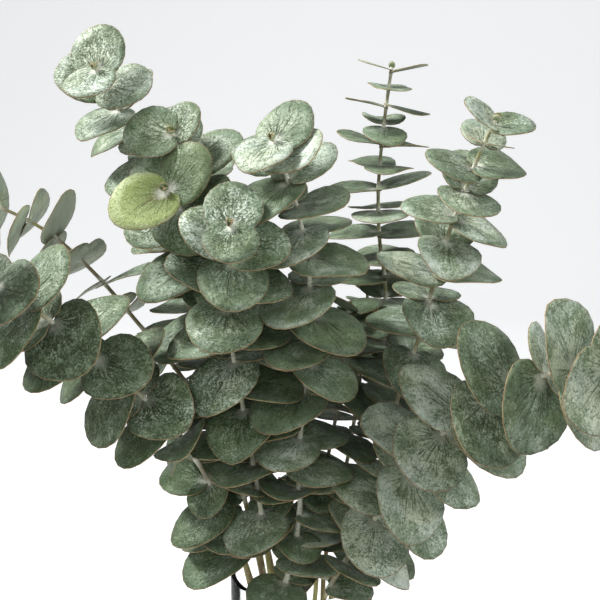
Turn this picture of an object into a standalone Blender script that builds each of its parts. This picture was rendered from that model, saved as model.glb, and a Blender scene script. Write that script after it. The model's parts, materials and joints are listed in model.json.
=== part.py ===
"""A bunch of eucalyptus stems standing in a glass vase of water.

Metres, +Z up. The origin is the middle of the vase's foot, on the table. The bunch is seen from
the -Y side, and +X is to the right. Each leafy stem is one solid, a tapered tube with its leaves
fused on, in opposite pairs that turn a quarter from one pair to the next.
"""

import math
import random
from dataclasses import dataclass

import bmesh
import bpy
import numpy as np
from mathutils.bvhtree import BVHTree

# Vase and water
VASE_HEIGHT = 0.192
VASE_RADIUS = 0.045
VASE_WALL = 0.003
VASE_FLOOR = 0.012
FOOT_ROUND = 0.004
INNER_ROUND = 0.006
ROUND_STEPS = 2
VASE_SIDES = 28
WATER_TOP = 0.118
FIT_GAP = 0.0004

# Stems inside the vase: they lean the same way round, so none crosses another
STEM_FOOT_Z = VASE_FLOOR + 0.0013
FOOT_SHARE = 0.62
VASE_TWIST = math.radians(110)
MID_SHARE = 0.6
MOUTH_Z = VASE_HEIGHT - 0.012
STEM_TIP_RADIUS = 0.0010
TUBE_ROUNDNESS = 0
TUBE_BEND = 0.0004     # how far the tube may cut a bend short
CURVE_STEPS = 14
BARE_SPACING = 0.045
BELOW_LEAVES = 0.005   # the tube's last point below its leaves
HOLE_END = 0.006       # how far a stem's hole in the water runs on below its cut end
HOLE_TOP = WATER_TOP + 0.02
WELD = 0.00001

# Leaves
BLADE_THICKNESS = 0.0007
EDGE_ANGLES = tuple(math.radians(angle) for angle in (-88, -44, 0, 44, 88))
EDGE_SWELL = 1.10
WAVES = 3
TIP_POINT = 0.13
TIP_SHARPNESS = 12
TIP_SHARE = 0.6
PAIR_OFFSET = 0.0009
TIP_INSET = 0.003
LOWEST_LEAF = VASE_HEIGHT + 0.004

# How the leaves of a stem differ: shares of full size, of the spacing, degrees and shares of a leaf's length
YOUNG_SPACING = 0.62
SPACING_SPREAD = 0.06
GROWTH = 0.8
YOUNG_LIFT = 2.2
GROWN_LIFT = 0.8
YOUNG_DROOP = 0.4
TWIST_SPREAD = 7
LIFT_SPREAD = 8
SIZES = (0.93, 1.05)
NARROWS = (0.88, 1.12)
DROOPS = (0.02, 0.15)
CUPS = (-0.12, 0.20)
WAVE_HEIGHTS = (0.01, 0.075)
SKEWS = (-0.13, 0.13)

# Room kept round each leaf, stem and the vase while the leaves are placed
LEAF_ROOM = 0.0007
STEM_ROOM = 0.0006
RIM_ROOM = 0.0012
RIM_BAND = 0.150
ROOM_SIDES = 6

# A leaf that would touch another turns about the stem, tips up or down (both degrees) or is smaller
LEAF_TRIES = [
    (yaw, pitch, scale)
    for scale, yaws, pitches in (
        (1.00, (0, 8, -8, 14, -14), (0, 10, -10, 20, -22)),
        (0.95, (0, 22, -22), (0, 20, -24)),
        (0.85, (0, 28, -28), (0, 32, -34)),
        (0.68, (0, 20, -20, 40, -40), (0, 22, -22, 44)),
    )
    for pitch in pitches
    for yaw in yaws
]


@dataclass(frozen=True)
class Stem:
    """One leafy stem, as it was cut."""

    name: str
    mouth_angle: float      # where it passes the vase's mouth, degrees from +X
    mouth_reach: float      # and how far from the middle
    route: tuple            # points above the vase, bottom to tip
    leaf: float             # length of a full-grown leaf
    spacing: float          # distance between full-grown pairs
    turn: float             # how far the tip pair is turned about the stem, degrees
    seed: int
    young: int = 4          # pairs from the tip to the first full-grown one
    tip_leaf: float = 0.8   # a tip leaf's length as a share of a full-grown one
    lift: float = 8.0       # how far the leaves lean to the tip, degrees
    sag: float = 0.20       # how far their weight turns them down
    narrow: float = 1.15     # higher for a narrower leaf
    radius: float = 0.0022  # at the cut end
    bare_below: float = LOWEST_LEAF  # leaves are stripped below this height


STEMS = (
    Stem("stem_centre_left", -138, 0.024,
         ((-0.023, -0.040, 0.242), (-0.027, -0.044, 0.274), (-0.032, -0.050, 0.308), (-0.037, -0.058, 0.343),
          (-0.040, -0.067, 0.367), (-0.038, -0.077, 0.387), (-0.035, -0.090, 0.405),
          (-0.034, -0.108, 0.421)),
         leaf=0.034, spacing=0.0165, turn=80, seed=5, tip_leaf=0.75, radius=0.0023, bare_below=0.222),
    Stem("stem_centre", -112, 0.033,
         ((-0.001, -0.040, 0.251), (-0.002, -0.043, 0.281), (0.000, -0.047, 0.304), (0.002, -0.052, 0.328),
          (0.005, -0.058, 0.358), (0.004, -0.063, 0.389), (0.001, -0.068, 0.410), (-0.003, -0.073, 0.427),
          (-0.009, -0.082, 0.446), (-0.014, -0.095, 0.461)),
         leaf=0.034, spacing=0.0155, turn=55, seed=6, tip_leaf=0.74, radius=0.0023),
    Stem("stem_young_tip", -165, 0.024,
         ((-0.037, -0.026, 0.261), (-0.043, -0.030, 0.287), (-0.050, -0.032, 0.324), (-0.055, -0.035, 0.354),
          (-0.057, -0.041, 0.384), (-0.059, -0.052, 0.407), (-0.062, -0.066, 0.425),
          (-0.068, -0.084, 0.436)),
         leaf=0.034, spacing=0.0165, turn=15, seed=4, young=3, tip_leaf=0.85, bare_below=0.235),
    Stem("stem_upright_left", 167, 0.024,
         ((-0.038, -0.006, 0.292), (-0.046, -0.006, 0.336), (-0.051, -0.010, 0.367), (-0.052, -0.020, 0.398),
          (-0.054, -0.034, 0.427), (-0.059, -0.050, 0.450), (-0.066, -0.072, 0.464)),
         leaf=0.033, spacing=0.0165, turn=0, seed=14, young=3, tip_leaf=0.82, bare_below=0.295),
    Stem("stem_low_left", -152, 0.032,
         ((-0.049, -0.034, 0.252), (-0.064, -0.048, 0.288), (-0.082, -0.064, 0.319), (-0.106, -0.084, 0.348),
          (-0.122, -0.103, 0.372), (-0.136, -0.119, 0.388), (-0.149, -0.135, 0.402)),
         leaf=0.035, spacing=0.018, turn=40, seed=2, young=3, bare_below=0.214),
    Stem("stem_low_right", -72, 0.033,
         ((0.040, -0.045, 0.242), (0.058, -0.060, 0.276), (0.077, -0.078, 0.310), (0.096, -0.102, 0.336),
          (0.117, -0.128, 0.353), (0.129, -0.144, 0.359), (0.144, -0.162, 0.367)),
         leaf=0.038, spacing=0.019, turn=0, seed=9, young=3),
    Stem("stem_slender", 30, 0.025,
         ((0.049, 0.030, 0.267), (0.052, 0.034, 0.306), (0.054, 0.033, 0.340), (0.053, 0.030, 0.372),
          (0.049, 0.026, 0.397), (0.047, 0.020, 0.428), (0.049, 0.014, 0.467), (0.053, 0.010, 0.503)),
         leaf=0.034, spacing=0.015, turn=0, seed=7, young=8, tip_leaf=0.60, lift=3, sag=0.06, narrow=1.6,
         bare_below=0.270),
    Stem("stem_right", -28, 0.033,
         ((0.050, -0.022, 0.272), (0.057, -0.024, 0.313), (0.069, -0.034, 0.357), (0.072, -0.041, 0.377),
          (0.079, -0.054, 0.412), (0.085, -0.065, 0.435), (0.091, -0.078, 0.458), (0.095, -0.086, 0.470)),
         leaf=0.033, spacing=0.0180, turn=0, seed=8, young=6, tip_leaf=0.60, bare_below=0.200),
    Stem("stem_high_left", 140, 0.024,
         ((-0.036, 0.016, 0.258), (-0.048, 0.014, 0.299), (-0.060, 0.008, 0.345), (-0.067, 0.002, 0.377),
          (-0.075, -0.006, 0.408), (-0.082, -0.013, 0.432), (-0.089, -0.020, 0.452), (-0.096, -0.030, 0.469),
          (-0.102, -0.042, 0.483), (-0.106, -0.060, 0.497)),
         leaf=0.032, spacing=0.019, turn=60, seed=3, bare_below=0.285),
    Stem("stem_far_left", 178, 0.033,
         ((-0.060, 0.000, 0.296), (-0.081, 0.002, 0.327), (-0.101, 0.005, 0.351), (-0.125, 0.008, 0.379),
          (-0.156, 0.012, 0.406), (-0.184, 0.015, 0.420), (-0.212, 0.020, 0.430), (-0.234, 0.022, 0.436)),
         leaf=0.030, spacing=0.020, turn=90, seed=1, tip_leaf=0.75, bare_below=0.220),
    Stem("stem_core", -58, 0.016,
         ((0.012, -0.014, 0.250), (0.020, -0.009, 0.290), (0.025, -0.006, 0.330), (0.028, -0.005, 0.362)),
         leaf=0.034, spacing=0.0165, turn=35, seed=15, young=3, tip_leaf=0.7),
    Stem("stem_back_centre", 100, 0.025,
         ((-0.029, 0.045, 0.262), (-0.036, 0.052, 0.308), (-0.042, 0.055, 0.355), (-0.049, 0.052, 0.402),
          (-0.056, 0.042, 0.439)),
         leaf=0.034, spacing=0.020, turn=20, seed=11, tip_leaf=0.6, bare_below=0.200),
    Stem("stem_back_right", 62, 0.033,
         ((0.032, 0.050, 0.250), (0.040, 0.060, 0.300), (0.044, 0.064, 0.345), (0.045, 0.062, 0.385)),
         leaf=0.035, spacing=0.0195, turn=50, seed=12, young=3, bare_below=0.200),
)


def unit(vector):
    """The same direction at length one."""
    return vector / np.linalg.norm(vector)


def smooth_curve(points):
    """Close points on a smooth curve through the given ones."""
    corners = np.array(points)
    lengths = np.linalg.norm(np.diff(corners, axis=0), axis=1)
    slopes = np.gradient(corners, np.concatenate([[0.0], np.cumsum(lengths)]), axis=0)
    curve = []
    for start, end, leaving, arriving, length in zip(corners, corners[1:], slopes, slopes[1:], lengths):
        for t in np.arange(CURVE_STEPS) / CURVE_STEPS:
            curve.append((2 * t**3 - 3 * t**2 + 1) * start + (t**3 - 2 * t**2 + t) * length * leaving
                         + (3 * t**2 - 2 * t**3) * end + (t**3 - t**2) * length * arriving)
    return np.array([*curve, corners[-1]])


class StemLine:
    """The middle line of a stem, measured from its cut end."""

    def __init__(self, stem):
        angle = math.radians(stem.mouth_angle)
        foot_reach = stem.mouth_reach * FOOT_SHARE
        foot_angle = angle - VASE_TWIST
        foot = np.array((foot_reach * math.cos(foot_angle), foot_reach * math.sin(foot_angle), STEM_FOOT_Z))
        mouth = np.array((stem.mouth_reach * math.cos(angle), stem.mouth_reach * math.sin(angle), MOUTH_Z))
        middle = foot + MID_SHARE * (mouth - foot)
        self.stem = stem
        self.points = smooth_curve([foot, middle, mouth, *stem.route])
        steps = np.linalg.norm(np.diff(self.points, axis=0), axis=1)
        self.along = np.concatenate([[0.0], np.cumsum(steps)])
        self.length = self.along[-1]
        self.tangents = np.gradient(self.points, self.along, axis=0)
        side = np.cross(self.tangents[-1], (0.0, 1.0, 0.2))
        sides = []
        for tangent in self.tangents[::-1]:
            tangent = unit(tangent)
            side = unit(side - np.dot(side, tangent) * tangent)
            sides.append(side)
        self.sides = np.array(sides[::-1])

    def at(self, distance):
        """Place, direction and sideways direction at a distance along the stem, or below its cut end."""
        place, tangent, side = (
            np.array([np.interp(distance, self.along, values[:, i]) for i in range(3)])
            for values in (self.points, self.tangents, self.sides)
        )
        tangent = unit(tangent)
        return place + min(distance, 0.0) * tangent, tangent, unit(side - np.dot(side, tangent) * tangent)

    def radius(self, distance):
        """The stem's radius, which tapers to its tip."""
        return self.stem.radius + (STEM_TIP_RADIUS - self.stem.radius) * distance / self.length

    def nodes(self):
        """Where the leaf pairs sit, from the tip down to just above the rim."""
        draw = random.Random(self.stem.seed)
        distance, number, places = self.length - TIP_INSET, 0, []
        while self.at(distance)[0][2] > self.stem.bare_below:
            places.append(distance)
            number += 1
            grown = min(1.0, number / self.stem.young)
            share = YOUNG_SPACING + (1 - YOUNG_SPACING) * grown
            distance -= self.stem.spacing * share * draw.uniform(1 - SPACING_SPREAD, 1 + SPACING_SPREAD)
        return places

    def bend(self, start, end, between):
        """How far the stem strays from the straight line between two distances."""
        first, last = self.at(start)[0], self.at(end)[0]
        along = unit(last - first)
        strays = [np.linalg.norm(np.cross(self.at(stop)[0] - first, along)) for stop in between]
        return max(strays, default=0.0)

    def tube_stops(self):
        """Distances at which the tube has a point: evenly up to the leaves, then where it bends."""
        leafy = self.nodes()[::-1]
        between = [(low + high) / 2 for low, high in zip(leafy, leafy[1:])]
        stops = [*np.arange(0.0, leafy[0] - BARE_SPACING / 4, BARE_SPACING), leafy[0] - BELOW_LEAVES]
        skipped = []
        for stop in [*between, self.length]:
            if self.bend(stops[-1], stop, skipped) > TUBE_BEND:
                stops.append(skipped[-1])
                skipped = []
            skipped.append(stop)
        return [*stops, self.length]


@dataclass(frozen=True)
class Leaf:
    """A blade, in a frame at its base: axis along the midrib, normal out of the upper side."""

    stem: int
    node: int
    base: np.ndarray
    axis: np.ndarray
    normal: np.ndarray
    length: float
    narrow: float
    droop: float
    cup: float
    wave: float
    phase: float
    skew: float

    def outline(self, angle):
        """Edge of the blade, as shares of its length, at an angle from the midrib seen from the base."""
        half = (1 + math.cos(angle)) / 2
        tip = 1 + TIP_POINT * (half**TIP_SHARPNESS - TIP_SHARE)
        reach = half**self.narrow * tip * (1 + self.skew * math.sin(angle))
        return reach * math.cos(angle), reach * math.sin(angle)

    def place(self, x, y, off=0.0):
        """World position of a point of the blade, x and y being shares of its length."""
        angle = math.atan2(y, x)
        rise = self.cup * y * y - self.droop * x * abs(x)
        rise += self.wave * (x * x + y * y) * math.sin(WAVES * angle + self.phase)
        across = np.cross(self.normal, self.axis)
        shape = x * self.axis + y * across + rise * self.normal
        return self.base + self.length * shape + off * self.normal

    def ring(self, off=0.0):
        """Edge points from one side round the tip to the other, and the base."""
        places = [self.outline(angle) for angle in EDGE_ANGLES]
        edge = [self.place(EDGE_SWELL * x, EDGE_SWELL * y, off) for x, y in places]
        return [*edge, self.place(0.0, 0.0, off)]


class Obstacle:
    """A closed shape that leaves keep clear of."""

    def __init__(self, points, faces, stem=None, node=None):
        self.tree = BVHTree.FromPolygons([tuple(point) for point in points], faces)
        self.low, self.high = np.min(points, axis=0), np.max(points, axis=0)
        self.stem, self.node = stem, node

    def meets(self, other):
        """Whether the two surfaces cross."""
        if (self.low > other.high).any() or (other.low > self.high).any():
            return False
        return bool(self.tree.overlap(other.tree))


def swept_tube(points, radii):
    """Points and faces of a tube round a line, for the test on room."""
    sides = ROOM_SIDES
    ring_points, faces = [], []
    side = np.cross(points[1] - points[0], (0.3, 1.0, 0.1))
    for i, point in enumerate(points):
        tangent = unit(points[min(i + 1, len(points) - 1)] - points[max(i - 1, 0)])
        side = unit(side - np.dot(side, tangent) * tangent)
        for k in range(sides):
            angle = 2 * math.pi * k / sides
            outward = math.cos(angle) * side + math.sin(angle) * np.cross(tangent, side)
            ring_points.append(point + radii[i] * outward)
    for i in range(len(points) - 1):
        for k in range(sides):
            low, next_low = i * sides + k, i * sides + (k + 1) % sides
            faces.append((low, next_low, next_low + sides, low + sides))
    return ring_points, faces


def stem_obstacle(line, index):
    """The room that a stem takes."""
    stops = line.tube_stops()
    return Obstacle(*swept_tube([line.at(stop)[0] for stop in stops],
                                [line.radius(stop) + STEM_ROOM for stop in stops]), stem=index)


def rim_obstacle():
    """The room that the upper part of the vase's wall takes."""
    inner, outer, top = VASE_RADIUS - VASE_WALL - RIM_ROOM, VASE_RADIUS + RIM_ROOM, VASE_HEIGHT + RIM_ROOM
    profile = ((outer, RIM_BAND), (outer, top), (inner, top), (inner, RIM_BAND))
    angles = [2 * math.pi * k / VASE_SIDES for k in range(VASE_SIDES)]
    points = [(r * math.cos(angle), r * math.sin(angle), z) for r, z in profile for angle in angles]
    faces = []
    for start in range(0, len(points) - VASE_SIDES, VASE_SIDES):
        for k in range(VASE_SIDES):
            low, next_low = start + k, start + (k + 1) % VASE_SIDES
            faces.append((low, next_low, next_low + VASE_SIDES, low + VASE_SIDES))
    return Obstacle(points, faces)


def leaf_obstacle(leaf):
    """The room that a leaf takes."""
    upper, lower = leaf.ring(LEAF_ROOM), leaf.ring(-LEAF_ROOM)
    count = len(upper)
    tip = len(EDGE_ANGLES) // 2
    faces = []
    for i in range(count):
        j = (i + 1) % count
        if tip not in (i, j):
            faces += [(i, j, tip), (count + j, count + i, count + tip)]
        faces += [(i, count + i, j), (j, count + i, count + j)]
    return Obstacle([*upper, *lower], faces, leaf.stem, leaf.node)


def grow_leaf(line, index, node, distance, hand, traits, attempt):
    """A leaf on one side of a node, turned by the attempt's angles."""
    stem = line.stem
    yaw, pitch, scale = attempt
    base, tangent, side = line.at(distance)
    angle = math.radians(stem.turn + traits["twist"] + 90 * node + (0 if hand > 0 else 180) + yaw)
    outward = math.cos(angle) * side + math.sin(angle) * np.cross(tangent, side)
    grown = min(1.0, node / stem.young)
    share = YOUNG_LIFT + (GROWN_LIFT - YOUNG_LIFT) * grown
    lift = math.radians(stem.lift * share + pitch + traits["lift"])
    axis = unit(math.cos(lift) * outward + math.sin(lift) * tangent)
    axis = unit(axis + np.array((0.0, 0.0, -stem.sag * grown)))
    normal = unit(tangent - np.dot(tangent, axis) * axis)
    length = stem.leaf * (stem.tip_leaf + (1 - stem.tip_leaf) * grown**GROWTH) * traits["size"] * scale
    droop = traits["droop"] * (YOUNG_DROOP + (1 - YOUNG_DROOP) * grown)
    return Leaf(index, node, base + hand * PAIR_OFFSET * tangent, axis, normal, length,
                stem.narrow * traits["narrow"], droop, traits["cup"], traits["wave"], traits["phase"],
                traits["skew"])


def place_leaves(lines):
    """Every leaf of the bunch, each clear of the other stems and of the leaves placed before it."""
    obstacles = [stem_obstacle(line, i) for i, line in enumerate(lines)] + [rim_obstacle()]
    leaves = []
    for index, line in enumerate(lines):
        draw = random.Random(line.stem.seed * 977 + 13)
        for node, distance in enumerate(line.nodes()):
            twist = draw.gauss(0, TWIST_SPREAD)
            others = [o for o in obstacles if o.stem != index or o.node not in (None, node)]
            for hand in (1, -1):
                traits = {"twist": twist, "lift": draw.gauss(0, LIFT_SPREAD), "size": draw.uniform(*SIZES),
                          "narrow": draw.uniform(*NARROWS), "droop": draw.uniform(*DROOPS),
                          "cup": draw.uniform(*CUPS), "wave": draw.uniform(*WAVE_HEIGHTS),
                          "phase": draw.uniform(0, 2 * math.pi), "skew": draw.uniform(*SKEWS)}
                for attempt in LEAF_TRIES:
                    leaf = grow_leaf(line, index, node, distance, hand, traits, attempt)
                    room = leaf_obstacle(leaf)
                    if not any(other.meets(room) for other in others):
                        leaves.append(leaf)
                        obstacles.append(room)
                        break
    return leaves


def clear_scene():
    """Removes what the file opened with."""
    for thing in list(bpy.data.objects):
        bpy.data.objects.remove(thing)


def collection(name):
    """A new collection in the scene."""
    made = bpy.data.collections.new(name)
    bpy.context.scene.collection.children.link(made)
    return made


def material(name, colour, roughness, alpha=1.0, transmission=0.0):
    """A plain material."""
    made = bpy.data.materials.new(name)
    made.use_nodes = True
    shader = made.node_tree.nodes["Principled BSDF"]
    shader.inputs["Base Color"].default_value = (*colour, 1.0)
    shader.inputs["Roughness"].default_value = roughness
    shader.inputs["Metallic"].default_value = 0.0
    shader.inputs["Alpha"].default_value = alpha
    shader.inputs["Transmission Weight"].default_value = transmission
    made.diffuse_color = (*colour, alpha)
    return made


def evaluated_mesh(thing):
    """A mesh of the object as it looks with its modifiers."""
    bpy.context.view_layer.update()
    depsgraph = bpy.context.evaluated_depsgraph_get()
    return bpy.data.meshes.new_from_object(thing.evaluated_get(depsgraph))


def tube(name, line, stops, room, into):
    """A closed tube along a stem's line, wider than the stem by the room."""
    curve = bpy.data.curves.new(name, "CURVE")
    curve.dimensions = "3D"
    curve.bevel_depth = 1.0
    curve.bevel_resolution = TUBE_ROUNDNESS
    curve.use_fill_caps = True
    spline = curve.splines.new("POLY")
    spline.points.add(len(stops) - 1)
    for point, stop in zip(spline.points, stops):
        point.co = (*line.at(stop)[0], 1.0)
        point.radius = line.radius(stop) + room
    drawn = bpy.data.objects.new(name, curve)
    into.objects.link(drawn)
    mesh = evaluated_mesh(drawn)
    bpy.data.objects.remove(drawn)
    weld = bmesh.new()
    weld.from_mesh(mesh)
    bmesh.ops.remove_doubles(weld, verts=weld.verts, dist=WELD)
    weld.to_mesh(mesh)
    weld.free()
    solid = bpy.data.objects.new(name, mesh)
    into.objects.link(solid)
    return solid


def blade(leaf, into):
    """One leaf: triangles that spread from its tip, bent to shape and given their thickness."""
    mesh = bpy.data.meshes.new("blade")
    fan = bmesh.new()
    bmesh.ops.create_circle(fan, cap_ends=True, cap_tris=True, segments=len(EDGE_ANGLES) + 1, radius=1.0)
    edge = sorted((v for v in fan.verts if v.co.length > 0.5), key=lambda v: math.atan2(v.co.y, v.co.x))
    for vertex, place in zip(edge, leaf.ring()):
        vertex.co = place
    tip = edge[len(EDGE_ANGLES) // 2]
    middle = next(v for v in fan.verts if v not in edge)
    bmesh.ops.pointmerge(fan, verts=[middle, tip], merge_co=tip.co)
    bmesh.ops.recalc_face_normals(fan, faces=fan.faces)
    fan.to_mesh(mesh)
    fan.free()
    made = bpy.data.objects.new("blade", mesh)
    into.objects.link(made)
    solidify = made.modifiers.new("thickness", "SOLIDIFY")
    solidify.thickness = BLADE_THICKNESS
    solidify.offset = 0.0
    return made


def leafy_stem(line, leaves, skin, into):
    """A stem with its leaves joined on, as one solid."""
    blades = collection("blades")
    for leaf in leaves:
        blade(leaf, blades)
    stem = tube(line.stem.name, line, line.tube_stops(), 0.0, into)
    union = stem.modifiers.new("leaves", "BOOLEAN")
    union.operation = "UNION"
    union.operand_type = "COLLECTION"
    union.collection = blades
    union.solver = "EXACT"
    joined = evaluated_mesh(stem)
    stem.modifiers.clear()
    stem.data = joined
    stem.data.materials.clear()
    stem.data.materials.append(skin)
    for thing in list(blades.objects):
        bpy.data.objects.remove(thing)
    bpy.data.collections.remove(blades)
    return stem


def corner(centre_r, centre_z, radius, start, end):
    """Points of a rounded corner of a profile, from one angle to another in degrees."""
    angles = [math.radians(start + (end - start) * i / ROUND_STEPS) for i in range(ROUND_STEPS + 1)]
    return [(centre_r + radius * math.cos(angle), centre_z + radius * math.sin(angle)) for angle in angles]


def turned(name, profile, skin, into):
    """A solid turned from a profile that runs down its outer side, top to bottom."""
    mesh = bpy.data.meshes.new(name)
    line = bmesh.new()
    points = [line.verts.new((r, 0.0, z)) for r, z in profile]
    for first, second in zip(points, points[1:]):
        line.edges.new((first, second))
    line.to_mesh(mesh)
    line.free()
    mesh.materials.append(skin)
    made = bpy.data.objects.new(name, mesh)
    into.objects.link(made)
    screw = made.modifiers.new("turn", "SCREW")
    screw.steps = VASE_SIDES
    screw.render_steps = VASE_SIDES
    screw.use_merge_vertices = True
    screw.merge_threshold = WELD
    return made


def glass_vase(skin, into):
    """A straight vase with a thick floor, a rounded rim and a flat foot."""
    inner = VASE_RADIUS - VASE_WALL
    rim = VASE_WALL / 2
    profile = [
        *corner(VASE_RADIUS - rim, VASE_HEIGHT - rim, rim, 90, 0),
        *corner(VASE_RADIUS - FOOT_ROUND, FOOT_ROUND, FOOT_ROUND, 0, -90),
        (0.0, 0.0),
    ]
    cup = [
        (0.0, VASE_FLOOR),
        *corner(inner - INNER_ROUND, VASE_FLOOR + INNER_ROUND, INNER_ROUND, -90, 0),
        *corner(VASE_RADIUS - rim, VASE_HEIGHT - rim, rim, 180, 90),
    ]
    return turned("glass_vase", [*profile, *cup], skin, into)


def water(lines, skin, into):
    """The water in the vase, with a plain hole for each stem."""
    reach = VASE_RADIUS - VASE_WALL - FIT_GAP
    low = VASE_FLOOR + FIT_GAP
    profile = [(0.0, WATER_TOP), (reach, WATER_TOP),
               *corner(reach - INNER_ROUND, low + INNER_ROUND, INNER_ROUND, 0, -90), (0.0, low)]
    body = turned("water", profile, skin, into)
    holes = collection("stem holes")
    for line in lines:
        inside = slice(0, 3 * CURVE_STEPS)
        top = np.interp(HOLE_TOP, line.points[inside, 2], line.along[inside])
        stops = [-HOLE_END, *np.arange(0.0, top, BARE_SPACING), top]
        tube("stem hole", line, stops, FIT_GAP, holes)
    cut = body.modifiers.new("stems", "BOOLEAN")
    cut.operation = "DIFFERENCE"
    cut.operand_type = "COLLECTION"
    cut.collection = holes
    cut.solver = "EXACT"
    body.data = evaluated_mesh(body)
    body.modifiers.clear()
    for thing in list(holes.objects):
        bpy.data.objects.remove(thing)
    bpy.data.collections.remove(holes)
    return body


def main():
    """Builds the bunch, its vase and the water."""
    clear_scene()
    bouquet = collection("eucalyptus bouquet")
    leaf_skin = material("eucalyptus leaf", (0.20, 0.29, 0.22), 0.6)
    glass = material("clear glass", (0.93, 0.96, 0.96), 0.05, alpha=0.35, transmission=1.0)
    clear_water = material("clear water", (0.90, 0.95, 0.95), 0.05, alpha=0.30, transmission=1.0)
    lines = [StemLine(stem) for stem in STEMS]
    leaves = place_leaves(lines)
    glass_vase(glass, bouquet)
    water(lines, clear_water, bouquet)
    for index, line in enumerate(lines):
        leafy_stem(line, [leaf for leaf in leaves if leaf.stem == index], leaf_skin, bouquet)


main()
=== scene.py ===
"""A bunch of eucalyptus stems in a glass vase of water, dressed for a studio picture.

Metres, +Z up. The origin is the middle of the vase's foot, the bunch is seen from the -Y side, and
+X is to the right. Every leafy stem keeps the place of the plain solid that it stands for.
"""

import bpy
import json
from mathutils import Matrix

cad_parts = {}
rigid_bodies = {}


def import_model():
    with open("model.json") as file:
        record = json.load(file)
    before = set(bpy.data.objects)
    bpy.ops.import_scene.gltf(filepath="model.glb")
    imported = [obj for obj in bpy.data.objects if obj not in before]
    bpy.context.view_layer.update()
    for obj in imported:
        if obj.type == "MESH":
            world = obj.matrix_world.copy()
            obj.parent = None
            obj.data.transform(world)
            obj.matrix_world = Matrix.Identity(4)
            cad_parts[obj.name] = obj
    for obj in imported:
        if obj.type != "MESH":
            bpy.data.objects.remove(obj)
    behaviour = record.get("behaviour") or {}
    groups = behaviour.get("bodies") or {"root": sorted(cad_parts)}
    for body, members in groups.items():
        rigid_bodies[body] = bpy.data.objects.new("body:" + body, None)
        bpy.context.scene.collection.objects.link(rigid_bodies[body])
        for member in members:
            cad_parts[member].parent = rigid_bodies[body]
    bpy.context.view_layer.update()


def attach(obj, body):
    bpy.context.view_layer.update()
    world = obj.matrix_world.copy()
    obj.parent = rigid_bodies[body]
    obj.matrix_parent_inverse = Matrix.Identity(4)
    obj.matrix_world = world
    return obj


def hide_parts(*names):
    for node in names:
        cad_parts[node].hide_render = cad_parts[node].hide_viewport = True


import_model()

import json
import logging
import math
import random
from collections.abc import Callable
from dataclasses import dataclass, field
from enum import Enum

import bpy
import numpy as np
from mathutils import Vector
from mathutils.bvhtree import BVHTree

LOG = logging.getLogger("eucalyptus")
Vector3 = np.ndarray
Colour = tuple[float, float, float]
Span = tuple[float, float]
Socket = bpy.types.NodeSocket

# Vase and water
VASE_HEIGHT = 0.192
VASE_RADIUS = 0.045
VASE_WALL = 0.003
VASE_FLOOR = 0.012
VASE_SIDES = 28
WATER_TOP = 0.118

# Stems inside the vase
STEM_FOOT_Z = VASE_FLOOR + 0.0013
FOOT_SHARE = 0.62
VASE_TWIST = math.radians(110)
MID_SHARE = 0.6
MOUTH_Z = VASE_HEIGHT - 0.012
STEM_TIP_RADIUS = 0.0010
TUBE_BEND = 0.0004
CURVE_STEPS = 14
BARE_SPACING = 0.045
BELOW_LEAVES = 0.005
TIP_SIDE = (0.0, 1.0, 0.2)

# Leaves
EDGE_ANGLES = tuple(math.radians(angle) for angle in (-88, -44, 0, 44, 88))
EDGE_SWELL = 1.10
WAVES = 3
TIP_POINT = 0.13
TIP_SHARPNESS = 12
TIP_SHARE = 0.6
PAIR_OFFSET = 0.0009
TIP_INSET = 0.003
LOWEST_LEAF = VASE_HEIGHT + 0.004

# How the leaves of a stem differ: shares of full size, of the spacing, degrees and shares of a leaf's length
YOUNG_SPACING = 0.62
SPACING_SPREAD = 0.06
GROWTH = 0.8
YOUNG_LIFT = 2.2
GROWN_LIFT = 0.8
YOUNG_DROOP = 0.4
TWIST_SPREAD = 7
LIFT_SPREAD = 8
SIZES = (0.93, 1.05)
NARROWS = (0.88, 1.12)
DROOPS = (0.02, 0.15)
CUPS = (-0.12, 0.20)
WAVE_HEIGHTS = (0.01, 0.075)
SKEWS = (-0.13, 0.13)

# Room kept round each leaf, stem and the vase while the leaves are placed
LEAF_ROOM = 0.0007
STEM_ROOM = 0.0006
RIM_ROOM = 0.0012
RIM_BAND = 0.150
ROOM_SIDES = 6
ROOM_START = (0.3, 1.0, 0.1)

# A leaf that would touch another turns about the stem, tips up or down (both degrees) or is smaller
LEAF_TRIES = [
    (yaw, pitch, scale)
    for scale, yaws, pitches in (
        (1.00, (0, 8, -8, 14, -14), (0, 10, -10, 20, -22)),
        (0.95, (0, 22, -22), (0, 20, -24)),
        (0.85, (0, 28, -28), (0, 32, -34)),
        (0.68, (0, 20, -20, 40, -40), (0, 22, -22, 44)),
    )
    for pitch in pitches
    for yaw in yaws
]

# The fine blade: angles of its rays from the midrib, and shares of the way out along them
RAY_ANGLES = (116, 101, 86, 71, 57, 43, 30, 19, 9, 0, -9, -19, -30, -43, -57, -71, -86, -101, -116)
RAY_SHARES = (0.0, 0.40, 0.76, 1.0)
FINE_THICKNESS = 0.00045
CRINKLES = 7
CRINKLE_SHARE = 0.25
CRINKLE_TURN = 2.3
FOLD_ROUND = 0.0004

# How the fine leaves of a stem differ. The first leaf at the tip is the warmest, its neighbours are cooler.
FOLDS = (0.0, 0.09)
GREEN_SPREAD = 0.15
SPECKLES = (0.7, 1.3)
LEAF_SEEDS = 50
COOLER = 0.15

# The bud at the tip: length and lift of the leaves of its pairs, how they differ and their shape
BUD_PAIRS = ((0.0044, 58), (0.0028, 74))
BUD_STEP = 0.0012
BUD_TURNS = (-12, 12)
BUD_LIFTS = (-8, 8)
BUD_SIZES = (0.85, 1.1)
BUD_SHAPE = {"narrow": 2.2, "droop": -0.15, "cup": 0.5, "wave": 0.0, "phase": 0.0, "skew": 0.0}
BUD_WARMTH = 0.45

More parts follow.
